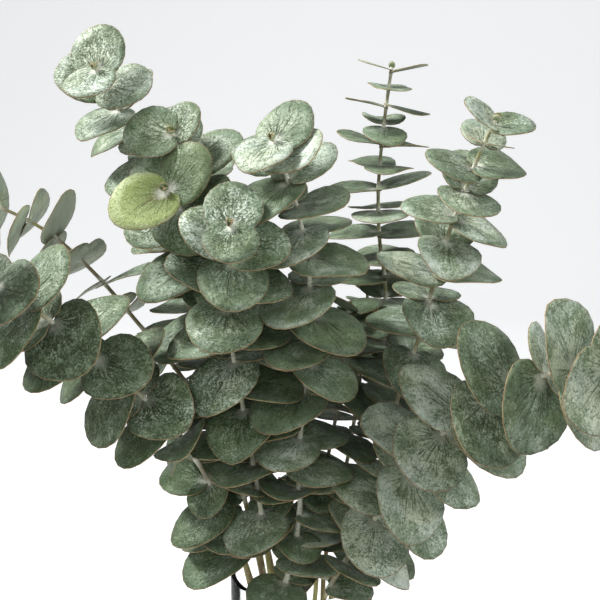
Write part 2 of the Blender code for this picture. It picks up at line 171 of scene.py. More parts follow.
# Factor and offset that turn a stem's seed into the seed of each use
NODE_DRAWS = (1, 0)
LEAF_DRAWS = (977, 13)
BUD_DRAWS = (31, 7)
LOOK_DRAWS = (53, 1)

# Points closer than the first become one, and lengths that differ by less than the second are equal. A face
# looks up when its normal rises by more than the third.
MERGE_REACH = 0.00001
LEVEL_ROOM = 1e-6
UPWARD = 0.9


@dataclass(frozen=True)
class LeafLook:
    """How the leaves of one stem are coloured.

    Attributes:
        bloom: How much pale powder lies on the grown leaves, from 0 to 1.
        spread: How much that differs from leaf to leaf.
        green: How green the grown leaves are under the powder, from 0 to 1.
        young: How much powder the leaves at the tip have.
        warm: How yellow the leaves at the tip are.
        speckle: How strongly the powder is broken into dots and rays.
        chalk: How white the stem between the leaves is.
    """

    bloom: float = 0.50
    spread: float = 0.10
    green: float = 0.30
    young: float = 0.60
    warm: float = 0.0
    speckle: float = 0.6
    chalk: float = 0.3


@dataclass(frozen=True)
class Stem:
    """One leafy stem, as it was cut.

    Attributes:
        name: The solid that it stands for.
        mouth_angle: Where it passes the vase's mouth, degrees from +X.
        mouth_reach: How far from the middle it passes it.
        route: Points above the vase, bottom to tip, in millimetres.
        leaf: Length of a full-grown leaf.
        spacing: Distance between full-grown pairs.
        turn: How far the tip pair is turned about the stem, degrees.
        seed: Settles the small differences between its leaves.
        young: Pairs from the tip to the first full-grown one.
        tip_leaf: A tip leaf's length as a share of a full-grown one.
        lift: How far the leaves lean to the tip, degrees.
        sag: How far their weight turns them down.
        narrow: Higher for a narrower leaf.
        radius: The stem's radius at its cut end.
        bare_below: Leaves are stripped below this height.
        look: How its leaves are coloured.
    """

    name: str
    mouth_angle: float
    mouth_reach: float
    route: tuple[tuple[int, int, int], ...]
    leaf: float
    spacing: float
    turn: float
    seed: int
    young: int = 4
    tip_leaf: float = 0.8
    lift: float = 8.0
    sag: float = 0.20
    narrow: float = 1.15
    radius: float = 0.0022
    bare_below: float = LOWEST_LEAF
    look: LeafLook = field(default_factory=LeafLook)

    def draws(self, use: tuple[int, int]) -> random.Random:
        """Random numbers of their own for each use.

        Args:
            use: Factor and offset that turn the stem's seed into the use's.

        Returns:
            The source of the numbers.
        """
        return random.Random(self.seed * use[0] + use[1])


STEMS = (
    Stem("stem_centre_left", -138, 0.024,
         ((-23, -40, 242), (-27, -44, 274), (-32, -50, 308), (-37, -58, 343), (-40, -67, 367),
          (-38, -77, 387), (-35, -90, 405), (-34, -108, 421)),
         leaf=0.034, spacing=0.0165, turn=80, seed=5, tip_leaf=0.75, radius=0.0023, bare_below=0.222,
         look=LeafLook(bloom=0.48, green=0.45, young=0.60, speckle=0.75, chalk=0.7)),
    Stem("stem_centre", -112, 0.033,
         ((-1, -40, 251), (-2, -43, 281), (0, -47, 304), (2, -52, 328), (5, -58, 358), (4, -63, 389),
          (1, -68, 410), (-3, -73, 427), (-9, -82, 446), (-14, -95, 461)),
         leaf=0.034, spacing=0.0155, turn=55, seed=6, tip_leaf=0.74, radius=0.0023,
         look=LeafLook(bloom=0.58, green=0.40, young=0.62, speckle=0.35, chalk=0.9)),
    Stem("stem_young_tip", -165, 0.024,
         ((-37, -26, 261), (-43, -30, 287), (-50, -32, 324), (-55, -35, 354), (-57, -41, 384),
          (-59, -52, 407), (-62, -66, 425), (-68, -84, 436)),
         leaf=0.034, spacing=0.0165, turn=15, seed=4, young=3, tip_leaf=0.85, bare_below=0.235,
         look=LeafLook(bloom=0.50, green=0.55, young=0.50, warm=0.85, speckle=0.6)),
    Stem("stem_upright_left", 167, 0.024,
         ((-38, -6, 292), (-46, -6, 336), (-51, -10, 367), (-52, -20, 398), (-54, -34, 427),
          (-59, -50, 450), (-66, -72, 464)),
         leaf=0.033, spacing=0.0165, turn=0, seed=14, young=3, tip_leaf=0.82, bare_below=0.295,
         look=LeafLook(bloom=0.50, green=0.45, young=0.62, speckle=0.7)),
    Stem("stem_low_left", -152, 0.032,
         ((-49, -34, 252), (-64, -48, 288), (-82, -64, 319), (-106, -84, 348), (-122, -103, 372),
          (-136, -119, 388), (-149, -135, 402)),
         leaf=0.035, spacing=0.018, turn=40, seed=2, young=3, bare_below=0.214,
         look=LeafLook(bloom=0.38, green=0.60, young=0.46, speckle=0.75)),
    Stem("stem_low_right", -72, 0.033,
         ((40, -45, 242), (58, -60, 276), (77, -78, 310), (96, -102, 336), (117, -128, 353),
          (129, -144, 359), (144, -162, 367)),
         leaf=0.038, spacing=0.019, turn=0, seed=9, young=3,
         look=LeafLook(bloom=0.70, green=0.20, young=0.78, speckle=0.55)),
    Stem("stem_slender", 30, 0.025,
         ((49, 30, 267), (52, 34, 306), (54, 33, 340), (53, 30, 372), (49, 26, 397), (47, 20, 428),
          (49, 14, 467), (53, 10, 503)),
         leaf=0.034, spacing=0.015, turn=0, seed=7, young=8, tip_leaf=0.60, lift=3, sag=0.06, narrow=1.6,
         bare_below=0.270, look=LeafLook(bloom=0.38, green=0.25, young=0.62, speckle=0.3, chalk=0.1)),
    Stem("stem_right", -28, 0.033,
         ((50, -22, 272), (57, -24, 313), (69, -34, 357), (72, -41, 377), (79, -54, 412), (85, -65, 435),
          (91, -78, 458), (95, -86, 470)),
         leaf=0.033, spacing=0.0180, turn=0, seed=8, young=6, tip_leaf=0.60, bare_below=0.200,
         look=LeafLook(bloom=0.60, green=0.25, young=0.74, speckle=0.50, chalk=0.15)),
    Stem("stem_high_left", 140, 0.024,
         ((-36, 16, 258), (-48, 14, 299), (-60, 8, 345), (-67, 2, 377), (-75, -6, 408), (-82, -13, 432),
          (-89, -20, 452), (-96, -30, 469), (-102, -42, 483), (-106, -60, 497)),
         leaf=0.032, spacing=0.019, turn=60, seed=3, bare_below=0.285,
         look=LeafLook(bloom=0.60, green=0.45, young=0.80, speckle=0.8)),
    Stem("stem_far_left", 178, 0.033,
         ((-60, 0, 296), (-81, 2, 327), (-101, 5, 351), (-125, 8, 379), (-156, 12, 406), (-184, 15, 420),
          (-212, 20, 430), (-234, 22, 436)),
         leaf=0.030, spacing=0.020, turn=90, seed=1, tip_leaf=0.75, bare_below=0.220,
         look=LeafLook(bloom=0.74, green=0.60, young=0.80, speckle=0.6, chalk=0.1)),
    Stem("stem_core", -58, 0.016,
         ((12, -14, 250), (20, -9, 290), (25, -6, 330), (28, -5, 362)),
         leaf=0.034, spacing=0.0165, turn=35, seed=15, young=3, tip_leaf=0.7,
         look=LeafLook(bloom=0.40, green=0.30, young=0.45, speckle=0.4)),
    Stem("stem_back_centre", 100, 0.025,
         ((-29, 45, 262), (-36, 52, 308), (-42, 55, 355), (-49, 52, 402), (-56, 42, 439)),
         leaf=0.034, spacing=0.020, turn=20, seed=11, tip_leaf=0.6, bare_below=0.200),
    Stem("stem_back_right", 62, 0.033,
         ((32, 50, 250), (40, 60, 300), (44, 64, 345), (45, 62, 385)),
         leaf=0.035, spacing=0.0195, turn=50, seed=12, young=3, bare_below=0.200),
)


def unit(vector: Vector3) -> Vector3:
    """The same direction at length one."""
    return vector / np.linalg.norm(vector)


def smooth_curve(points: list) -> np.ndarray:
    """Close points on a smooth curve through the given ones.

    Args:
        points: The points to pass, in order.

    Returns:
        The close points, one a row.
    """
    corners = np.array(points)
    lengths = np.linalg.norm(np.diff(corners, axis=0), axis=1)
    slopes = np.gradient(corners, np.concatenate([[0.0], np.cumsum(lengths)]), axis=0)
    curve = []
    for start, end, leaving, arriving, length in zip(corners, corners[1:], slopes, slopes[1:], lengths):
        for t in np.arange(CURVE_STEPS) / CURVE_STEPS:
            curve.append((2 * t**3 - 3 * t**2 + 1) * start + (t**3 - 2 * t**2 + t) * length * leaving
                         + (3 * t**2 - 2 * t**3) * end + (t**3 - t**2) * length * arriving)
    return np.array([*curve, corners[-1]])


class StemLine:
    """The middle line of a stem, measured from its cut end."""

    def __init__(self, stem: Stem) -> None:
        """Lays the line through the vase and along the stem's route.

        Args:
            stem: The stem to lay.
        """
        angle = math.radians(stem.mouth_angle)
        foot_reach = stem.mouth_reach * FOOT_SHARE
        foot_angle = angle - VASE_TWIST
        foot = np.array((foot_reach * math.cos(foot_angle), foot_reach * math.sin(foot_angle), STEM_FOOT_Z))
        mouth = np.array((stem.mouth_reach * math.cos(angle), stem.mouth_reach * math.sin(angle), MOUTH_Z))
        middle = foot + MID_SHARE * (mouth - foot)
        self.stem = stem
        self.points = smooth_curve([foot, middle, mouth, *np.array(stem.route) / 1000])
        steps = np.linalg.norm(np.diff(self.points, axis=0), axis=1)
        self.along = np.concatenate([[0.0], np.cumsum(steps)])
        self.length = float(self.along[-1])
        self.tangents = np.gradient(self.points, self.along, axis=0)
        side = np.cross(self.tangents[-1], TIP_SIDE)
        sides = []
        for tangent in self.tangents[::-1]:
            tangent = unit(tangent)
            side = unit(side - np.dot(side, tangent) * tangent)
            sides.append(side)
        self.sides = np.array(sides[::-1])

    def at(self, distance: float) -> tuple[Vector3, Vector3, Vector3]:
        """Place, direction and sideways direction at a distance along the stem, or below its cut end.

        Args:
            distance: How far from the cut end.

        Returns:
            The place, the unit direction to the tip and a unit direction across it.
        """
        place, tangent, side = (
            np.array([np.interp(distance, self.along, values[:, i]) for i in range(3)])
            for values in (self.points, self.tangents, self.sides)
        )
        tangent = unit(tangent)
        return place + min(distance, 0.0) * tangent, tangent, unit(side - np.dot(side, tangent) * tangent)

    def radius(self, distance: float) -> float:
        """The stem's radius, which tapers to its tip."""
        return self.stem.radius + (STEM_TIP_RADIUS - self.stem.radius) * distance / self.length

    def nodes(self) -> list[float]:
        """Where the leaf pairs sit, from the tip down to just above the rim."""
        draw = self.stem.draws(NODE_DRAWS)
        distance, number, places = self.length - TIP_INSET, 0, []
        while self.at(distance)[0][2] > self.stem.bare_below:
            places.append(distance)
            number += 1
            grown = min(1.0, number / self.stem.young)
            share = YOUNG_SPACING + (1 - YOUNG_SPACING) * grown
            distance -= self.stem.spacing * share * draw.uniform(1 - SPACING_SPREAD, 1 + SPACING_SPREAD)
        return places

    def bend(self, start: float, end: float, between: list[float]) -> float:
        """How far the stem strays from the straight line between two distances."""
        first, last = self.at(start)[0], self.at(end)[0]
        along = unit(last - first)
        strays = [np.linalg.norm(np.cross(self.at(stop)[0] - first, along)) for stop in between]
        return max(strays, default=0.0)

    def tube_stops(self) -> list[float]:
        """Distances at which the plain tube has a point: evenly up to the leaves, then where it bends."""
        leafy = self.nodes()[::-1]
        between = [(low + high) / 2 for low, high in zip(leafy, leafy[1:])]
        stops = [*np.arange(0.0, leafy[0] - BARE_SPACING / 4, BARE_SPACING), leafy[0] - BELOW_LEAVES]
        skipped = []
        for stop in [*between, self.length]:
            if self.bend(stops[-1], stop, skipped) > TUBE_BEND:
                stops.append(skipped[-1])
                skipped = []
            skipped.append(stop)
        return [*stops, self.length]


@dataclass(frozen=True)
class Leaf:
    """A blade, in a frame at its base: axis along the midrib, normal out of the upper side.

    Attributes:
        stem: Number of its stem.
        node: Number of its pair, from the tip.
        base: Where it is joined to the stem.
        axis: Unit direction along the midrib.
        normal: Unit direction out of the upper side.
        length: From base to tip.
        narrow: Higher for a narrower leaf.
        droop: How far the tip bends down, as a share of the length.
        cup: How far the sides bend up.
        wave: Height of the waves of the edge.
        phase: Where the waves start.
        skew: How much broader one half is than the other.
    """

    stem: int
    node: int
    base: Vector3
    axis: Vector3
    normal: Vector3
    length: float
    narrow: float
    droop: float
    cup: float
    wave: float
    phase: float
    skew: float

    def reach(self, angle: np.ndarray | float) -> np.ndarray | float:
        """How far the edge lies from the base, as a share of the length, at an angle from the midrib."""
        half = (1 + np.cos(angle)) / 2
        tip = 1 + TIP_POINT * (half**TIP_SHARPNESS - TIP_SHARE)
        return half**self.narrow * tip * (1 + self.skew * np.sin(angle))

    def outline(self, angle: float) -> tuple[float, float]:
        """Edge of the blade, as shares of its length, at an angle from the midrib seen from the base."""
        reach = self.reach(angle)
        return reach * math.cos(angle), reach * math.sin(angle)

    def place(self, x: float, y: float, off: float = 0.0) -> Vector3:
        """World position of a point of the blade, x and y being shares of its length."""
        angle = math.atan2(y, x)
        rise = self.cup * y * y - self.droop * x * abs(x)
        rise += self.wave * (x * x + y * y) * math.sin(WAVES * angle + self.phase)
        across = np.cross(self.normal, self.axis)
        shape = x * self.axis + y * across + rise * self.normal
        return self.base + self.length * shape + off * self.normal

    def ring(self, off: float = 0.0) -> list[Vector3]:
        """Edge points from one side round the tip to the other, and the base."""
        places = [self.outline(angle) for angle in EDGE_ANGLES]
        edge = [self.place(EDGE_SWELL * x, EDGE_SWELL * y, off) for x, y in places]
        return [*edge, self.place(0.0, 0.0, off)]

    def surface(self, angles: np.ndarray, shares: np.ndarray, fold: float) -> np.ndarray:
        """World positions of many points of the fine blade.

        Args:
            angles: Their angles from the midrib, in radians.
            shares: How far out they lie towards the edge, from 0 to 1.
            fold: How steeply the two halves rise from the midrib.

        Returns:
            The positions, one a row.
        """
        reach = shares * self.reach(angles)
        x, y = reach * np.cos(angles), reach * np.sin(angles)
        rise = self.cup * y * y - self.droop * x * np.abs(x) + fold * np.sqrt(y * y + FOLD_ROUND)
        rise = rise + self.wave * (x * x + y * y) * np.sin(WAVES * angles + self.phase)
        crinkles = np.sin(CRINKLES * angles + CRINKLE_TURN * self.phase)
        rise = rise + CRINKLE_SHARE * self.wave * reach**2 * crinkles
        across = np.cross(self.normal, self.axis)
        shape = np.outer(x, self.axis) + np.outer(y, across) + np.outer(rise, self.normal)
        return self.base + self.length * shape


class Obstacle:
    """A closed shape that leaves keep clear of."""

    def __init__(self, points: list, faces: list, stem: int | None = None, node: int | None = None) -> None:
        """Keeps the shape ready for tests.

        Args:
            points: Its corners.
            faces: Its faces, as numbers of corners.
            stem: Number of the stem that it belongs to, if any.
            node: Number of the leaf pair that it belongs to, if any.
        """
        self.tree = BVHTree.FromPolygons([tuple(point) for point in points], faces)
        self.low, self.high = np.min(points, axis=0), np.max(points, axis=0)
        self.stem, self.node = stem, node

    def meets(self, other: "Obstacle") -> bool:
        """Whether the two surfaces cross."""
        if (self.low > other.high).any() or (other.low > self.high).any():
            return False
        return bool(self.tree.overlap(other.tree))


def ring_faces(rings: int, sides: int) -> list[tuple[int, ...]]:
    """Faces between rings of corners that are numbered one ring after another.

    Args:
        rings: Number of rings.
        sides: Corners of each ring.

    Returns:
        The faces, as numbers of corners.
    """
    bands = [(k, (k + 1) % sides, (k + 1) % sides + sides, k + sides) for k in range(sides)]
    return [tuple(ring * sides + corner for corner in face) for ring in range(rings - 1) for face in bands]


class LeafLayout:
    """Places the leaves of all stems, each clear of the others."""

    def __init__(self, stems: tuple[Stem, ...]) -> None:
        """Lays the stems' lines.

        Args:
            stems: The stems of the bunch.
        """
        self.lines = [StemLine(stem) for stem in stems]

    @staticmethod
    def swept_tube(points: list[Vector3], radii: list[float]) -> tuple[list, list]:
        """Points and faces of a tube round a line, for the test on room."""
        corners = []
        side = np.cross(points[1] - points[0], ROOM_START)
        for i, point in enumerate(points):
            tangent = unit(points[min(i + 1, len(points) - 1)] - points[max(i - 1, 0)])
            side = unit(side - np.dot(side, tangent) * tangent)
            for k in range(ROOM_SIDES):
                angle = 2 * math.pi * k / ROOM_SIDES
                outward = math.cos(angle) * side + math.sin(angle) * np.cross(tangent, side)
                corners.append(point + radii[i] * outward)
        return corners, ring_faces(len(points), ROOM_SIDES)

    def stem_obstacle(self, line: StemLine, index: int) -> Obstacle:
        """The room that a stem takes."""
        stops = line.tube_stops()
        return Obstacle(*self.swept_tube([line.at(stop)[0] for stop in stops],
                                         [line.radius(stop) + STEM_ROOM for stop in stops]), stem=index)

    @staticmethod
    def rim_obstacle() -> Obstacle:
        """The room that the upper part of the vase's wall takes."""
        inner, outer = VASE_RADIUS - VASE_WALL - RIM_ROOM, VASE_RADIUS + RIM_ROOM
        top = VASE_HEIGHT + RIM_ROOM
        profile = ((outer, RIM_BAND), (outer, top), (inner, top), (inner, RIM_BAND))
        angles = [2 * math.pi * k / VASE_SIDES for k in range(VASE_SIDES)]
        points = [(r * math.cos(angle), r * math.sin(angle), z) for r, z in profile for angle in angles]
        return Obstacle(points, ring_faces(len(profile), VASE_SIDES))

    @staticmethod
    def leaf_obstacle(leaf: Leaf) -> Obstacle:
        """The room that a leaf takes."""
        upper, lower = leaf.ring(LEAF_ROOM), leaf.ring(-LEAF_ROOM)
        count = len(upper)
        tip = len(EDGE_ANGLES) // 2
        faces = []
        for i in range(count):
            j = (i + 1) % count
            if tip not in (i, j):
                faces += [(i, j, tip), (count + j, count + i, count + tip)]
            faces += [(i, count + i, j), (j, count + i, count + j)]
        return Obstacle([*upper, *lower], faces, leaf.stem, leaf.node)

    @staticmethod
    def grow_leaf(line: StemLine, index: int, node: int, distance: float, hand: int,
                  traits: dict[str, float], attempt: tuple[float, float, float]) -> Leaf:
        """A leaf on one side of a node, turned by the attempt's angles.

        Args:
            line: The stem that it grows on.
            index: Number of that stem.
            node: Number of the pair, from the tip.
            distance: Where the pair sits.
            hand: 1 for one leaf of the pair and -1 for the other.
            traits: What makes this leaf differ.
            attempt: Turn about the stem, tip angle and scale.

        Returns:
            The leaf.
        """
        stem = line.stem
        yaw, pitch, scale = attempt
        base, tangent, side = line.at(distance)
        angle = math.radians(stem.turn + traits["twist"] + 90 * node + (0 if hand > 0 else 180) + yaw)
        outward = math.cos(angle) * side + math.sin(angle) * np.cross(tangent, side)
        grown = min(1.0, node / stem.young)
        share = YOUNG_LIFT + (GROWN_LIFT - YOUNG_LIFT) * grown
        lift = math.radians(stem.lift * share + pitch + traits["lift"])
        axis = unit(math.cos(lift) * outward + math.sin(lift) * tangent)
        axis = unit(axis + np.array((0.0, 0.0, -stem.sag * grown)))
        normal = unit(tangent - np.dot(tangent, axis) * axis)
        length = stem.leaf * (stem.tip_leaf + (1 - stem.tip_leaf) * grown**GROWTH) * traits["size"] * scale
        droop = traits["droop"] * (YOUNG_DROOP + (1 - YOUNG_DROOP) * grown)
        return Leaf(index, node, base + hand * PAIR_OFFSET * tangent, axis, normal, length,
                    stem.narrow * traits["narrow"], droop, traits["cup"], traits["wave"], traits["phase"],
                    traits["skew"])

    def leaves(self) -> list[Leaf]:
        """Every leaf of the bunch, each clear of the other stems and of the leaves placed before it."""
        obstacles = [self.stem_obstacle(line, i) for i, line in enumerate(self.lines)]
        obstacles.append(self.rim_obstacle())
        leaves = []
        for index, line in enumerate(self.lines):
            draw = line.stem.draws(LEAF_DRAWS)
            for node, distance in enumerate(line.nodes()):
                twist = draw.gauss(0, TWIST_SPREAD)
                others = [o for o in obstacles if o.stem != index or o.node not in (None, node)]
                for hand in (1, -1):
                    traits = {"twist": twist, "lift": draw.gauss(0, LIFT_SPREAD),
                              "size": draw.uniform(*SIZES), "narrow": draw.uniform(*NARROWS),
                              "droop": draw.uniform(*DROOPS),
                              "cup": draw.uniform(*CUPS), "wave": draw.uniform(*WAVE_HEIGHTS),
                              "phase": draw.uniform(0, 2 * math.pi), "skew": draw.uniform(*SKEWS)}
                    for attempt in LEAF_TRIES:
                        leaf = self.grow_leaf(line, index, node, distance, hand, traits, attempt)
                        room = self.leaf_obstacle(leaf)
                        if not any(other.meets(room) for other in others):
                            leaves.append(leaf)
                            obstacles.append(room)
                            break
        return leaves


class Sketch:
    """A material's or a group's node tree while it is wired."""

    def __init__(self, tree: bpy.types.NodeTree) -> None:
        """Starts on a tree.

        Args:
            tree: The tree that gets the nodes.
        """
        self.tree = tree

    def feed(self, node: bpy.types.Node, values: dict) -> None:
        """Fills some inputs of a node.

        Args:
            node: The node.
            values: What its inputs get, a socket to link or a plain value.
        """
        for name, value in values.items():
            if isinstance(value, Socket):
                self.tree.links.new(value, node.inputs[name])
            else:
                node.inputs[name].default_value = value

    def node(self, kind: str, values: dict | None = None, **settings: object) -> bpy.types.Node:
        """Adds a node.

        Args:
            kind: The node's type.
            values: What its inputs get.
            **settings: The node's own settings.

        Returns:
            The node.
        """
        made = self.tree.nodes.new(kind)
        for name, value in settings.items():
            setattr(made, name, value)
        self.feed(made, values or {})
        return made

    def math(self, operation: str, *values: object, clamp: bool = False) -> Socket:
        """One step of arithmetic on sockets or numbers."""
        made = self.node("ShaderNodeMath", dict(enumerate(values)), operation=operation, use_clamp=clamp)
        return made.outputs[0]

    def plus(self, first: object, second: object) -> Socket:
        """The sum of two values."""
        return self.math("ADD", first, second)

    def less(self, first: object, second: object) -> Socket:
        """The first value less the second."""
        return self.math("SUBTRACT", first, second)

    def times(self, first: object, second: object) -> Socket:
        """The product of two values."""
        return self.math("MULTIPLY", first, second)

    def line(self, value: object, slope: object, start: object) -> Socket:
        """A start plus a slope times the value."""
        return self.math("MULTIPLY_ADD", value, slope, start)

    def smooth(self, value: object, low: float, high: float) -> Socket:
        """A soft step from 0 at low to 1 at high."""
        made = self.node("ShaderNodeMapRange", {"Value": value, "From Min": low, "From Max": high},
                         interpolation_type="SMOOTHSTEP")
        return made.outputs["Result"]

    def ridge(self, away: object, width: object) -> Socket:
        """1 where the distance is 0, falling to 0 at the width."""
        return self.math("SUBTRACT", 1.0, self.math("DIVIDE", away, width), clamp=True)

    def place(self) -> Socket:
        """The place on the object."""
        return self.node("ShaderNodeTexCoord").outputs["Object"]

    def noise(self, vector: object, scale: float, detail: float = 3.0, rough: float = 0.6) -> Socket:
        """Cloudy noise from about 0 to 1."""
        made = self.node("ShaderNodeTexNoise", {"Vector": vector, "Scale": scale, "Detail": detail,
                                                "Roughness": rough})
        return made.outputs["Fac"]

    def mix(self, share: object, first: object, second: object, blend: str = "MIX") -> Socket:
        """Two colours mixed."""
        values = {0: share, 6: self.colour(first), 7: self.colour(second)}
        made = self.node("ShaderNodeMix", values, data_type="RGBA", blend_type=blend)
        return made.outputs[2]

    def ramp(self, value: object, stops: tuple[tuple[float, Colour], ...]) -> Socket:
        """A colour that runs through several as the value rises."""
        made = self.node("ShaderNodeValToRGB", {0: value})
        elements = made.color_ramp.elements
        while len(elements) < len(stops):
            elements.new(1.0)
        for element, (place, colour) in zip(elements, stops):
            element.position = place
            element.color = (*colour, 1.0)
        return made.outputs["Color"]

    def bump(self, height: object, strength: float, depth: float) -> Socket:
        """A normal that shows small relief."""
        made = self.node("ShaderNodeBump", {"Height": height, "Strength": strength, "Distance": depth})
        return made.outputs["Normal"]

    def attribute(self, name: str) -> Socket:
        """A number kept on the mesh."""
        return self.node("ShaderNodeAttribute", attribute_name=name).outputs["Fac"]

    @staticmethod
    def colour(value: object) -> object:
        """A plain colour with its alpha, and a socket as it is."""
        return value if isinstance(value, Socket) else (*value, 1.0)


def new_material(name: str) -> tuple[bpy.types.Material, Sketch, bpy.types.Node]:
    """Starts a material.

    Args:
        name: What it is called.

    Returns:
        The material, a sketch of its tree and its shader.
    """
    made = bpy.data.materials.new(name)
    made.use_nodes = True
    return made, Sketch(made.node_tree), made.node_tree.nodes["Principled BSDF"]


def srgb(red: float, green: float, blue: float) -> Colour:
    """A colour given as on a screen, 0 to 255, as light."""
    def light(value: float) -> float:
        share = value / 255
        return share / 12.92 if share <= 0.04045 else ((share + 0.055) / 1.055) ** 2.4
    return light(red), light(green), light(blue)


class LeafSide(Enum):
    """The two sides of a blade."""

    UPPER = "upper"
    UNDER = "under"


class LeafPattern:
    """The shader group that gives a leaf its powder, veins, node patch and edge.

    A span holds the values at which a soft step starts and ends. Scales are features a metre.
    """

    OUTPUTS = ("Powder", "Vein", "Patch", "Edge", "Out")
    DETAIL = 2.0

    # Rays: scale and width of their sway. Streaks and flecks: how many round the base and along the blade.
    SWAY_SCALE, SWAY_WIDTH = 240.0, 0.022
    STREAKS, STREAK_SPAN = (52.0, 6.0), (0.38, 0.62)
    FLECKS, FLECK_ROUGH = (170.0, 17.0), 0.55
    INNER_SPAN = (0.98, 0.20)

    # Specks mix streaks, flecks and grain. Clumps and the inner blade strengthen them: slope and start.
    GRAIN_SCALE = 900.0
    STREAK_SHARE, FLECK_SHARE, GRAIN_SHARE = 0.15, 0.30, 0.55
    SPECK_SPAN, SPECK_MIDDLE = (0.44, 0.58), 0.45
    CLUMP_SCALE, CLUMP_SPAN, CLUMP_LINE = 150.0, (0.32, 0.62), (0.60, 0.45)
    INNER_LINE = (0.35, 0.70)

    # What specks, broad streaks, the powdery base and clouds add to the powder
    SPECKS, BROAD, BASE = 0.70, 0.28, 0.28
    CLOUD_SCALE, CLOUD_ROUGH, CLOUDS = 85.0, 0.5, 0.95

    # Veins: the higher the taper, the more slowly they narrow. Ribs: lanes round the base, width and gaps.
    MIDRIB_WIDTH, MIDRIB_TAPER, MIDRIB_SPAN = 0.0022, 0.06, (0.95, 0.35)
    RIBS = ((17.0, 0.038, (0.34, 0.46)), (37.0, 0.070, (0.44, 0.54)))
    RIB_TAPER, RIB_START, GAP_SCALE = 0.10, (0.04, 0.24), 0.35

    # Cracks: a net with bends, broken by gaps
    NET_SCALE, NET_SPAN, CRACK_SHARE = 370.0, (0.065, 0.015), 0.75
    BEND_SCALE, BEND = 500.0, 0.003
    BREAK_SCALE, BREAK_SPAN = 420.0, (0.46, 0.60)

    # The pale patch at the base with its ragged border, and the dry edge
    RAGGED_SCALE, RAGGED, PATCH_SPAN = 600.0, 0.14, (0.28, 0.06)
    EDGE_SPAN = (0.978, 0.998)

    def __init__(self) -> None:
        """Starts the group with what all its parts are made from."""
        self.group = bpy.data.node_groups.new("leaf pattern", "ShaderNodeTree")
        self.group.interface.new_socket("Strength", in_out="INPUT", socket_type="NodeSocketFloat")
        for name in self.OUTPUTS:
            self.group.interface.new_socket(name, in_out="OUTPUT", socket_type="NodeSocketFloat")
        self.sketch = Sketch(self.group)
        self.place = self.sketch.place()
        polar = self.sketch.node("ShaderNodeUVMap", uv_map="polar").outputs["UV"]
        self.turn, self.out = self.sketch.node("ShaderNodeSeparateXYZ", {0: polar}).outputs[:2]
        self.inner = self.sketch.smooth(self.out, *self.INNER_SPAN)
        self.leaf_seed = self.sketch.attribute("leaf_seed")
        sway = self.sketch.line(self.cloud(self.SWAY_SCALE), self.SWAY_WIDTH, self.turn)
        self.ray = self.sketch.plus(sway, self.leaf_seed)
        self.streak_at = self.field(*self.STREAKS)

    def cloud(self, scale: float, rough: float = 0.6) -> Socket:
        """Cloudy noise from about -0.5 to 0.5."""
        return self.sketch.less(self.sketch.noise(self.place, scale, self.DETAIL, rough), 0.5)

    def field(self, around: float, along: float) -> Socket:
        """A place in a field that follows the rays.

        Args:
            around: Its features round the base.
            along: Its features along the blade.

        Returns:
            The place, as a vector.
        """
        place = {0: self.sketch.times(self.ray, around), 1: self.sketch.times(self.out, along),
                 2: self.leaf_seed}
        return self.sketch.node("ShaderNodeCombineXYZ", place).outputs[0]

    def powder(self) -> Socket:
        """How thick the powder lies, around 0."""
        sketch = self.sketch
        streak = sketch.noise(self.streak_at, 1.0, self.DETAIL)
        fleck = sketch.noise(self.field(*self.FLECKS), 1.0, self.DETAIL, self.FLECK_ROUGH)
        grain = sketch.noise(self.place, self.GRAIN_SCALE, self.DETAIL, self.FLECK_ROUGH)
        specks = sketch.line(streak, self.STREAK_SHARE, sketch.times(fleck, self.FLECK_SHARE))
        specks = sketch.line(grain, self.GRAIN_SHARE, specks)
        specks = sketch.less(sketch.smooth(specks, *self.SPECK_SPAN), self.SPECK_MIDDLE)
        clump = sketch.smooth(sketch.noise(self.place, self.CLUMP_SCALE, self.DETAIL), *self.CLUMP_SPAN)
        specks = sketch.times(specks, sketch.line(clump, *self.CLUMP_LINE))
        specks = sketch.times(specks, sketch.line(self.inner, *self.INNER_LINE))
        broad = sketch.times(sketch.less(sketch.smooth(streak, *self.STREAK_SPAN), 0.5), self.inner)
        marks = sketch.line(specks, self.SPECKS, sketch.times(broad, self.BROAD))
        marks = sketch.plus(marks, sketch.times(sketch.less(0.5, self.out), self.BASE))
        strength = sketch.node("NodeGroupInput").outputs["Strength"]
        return sketch.line(marks, sketch.times(sketch.attribute("speckle"), strength),
                           sketch.times(self.cloud(self.CLOUD_SCALE, self.CLOUD_ROUGH), self.CLOUDS))

    def veins(self) -> Socket:
        """The midrib and the veins that run out from the base, 1 on a vein."""
        sketch = self.sketch
        side = sketch.math("ABSOLUTE", sketch.less(self.turn, 0.5))
        width = sketch.math("DIVIDE", self.MIDRIB_WIDTH, sketch.plus(self.out, self.MIDRIB_TAPER))
        vein = sketch.times(sketch.ridge(side, width), sketch.smooth(self.out, *self.MIDRIB_SPAN))
        for lanes, rib_width, gaps in self.RIBS:
            lane = sketch.math("FRACT", sketch.times(self.ray, lanes))
            width = sketch.math("DIVIDE", rib_width, sketch.plus(self.out, self.RIB_TAPER))
            rib = sketch.ridge(sketch.math("ABSOLUTE", sketch.less(lane, 0.5)), width)
            kept = sketch.smooth(sketch.noise(self.streak_at, self.GAP_SCALE, 1.0), *gaps)
            rib = sketch.times(sketch.times(rib, self.inner), kept)
            rib = sketch.times(rib, sketch.smooth(self.out, *self.RIB_START))
            vein = sketch.math("MAXIMUM", vein, rib)
        return vein

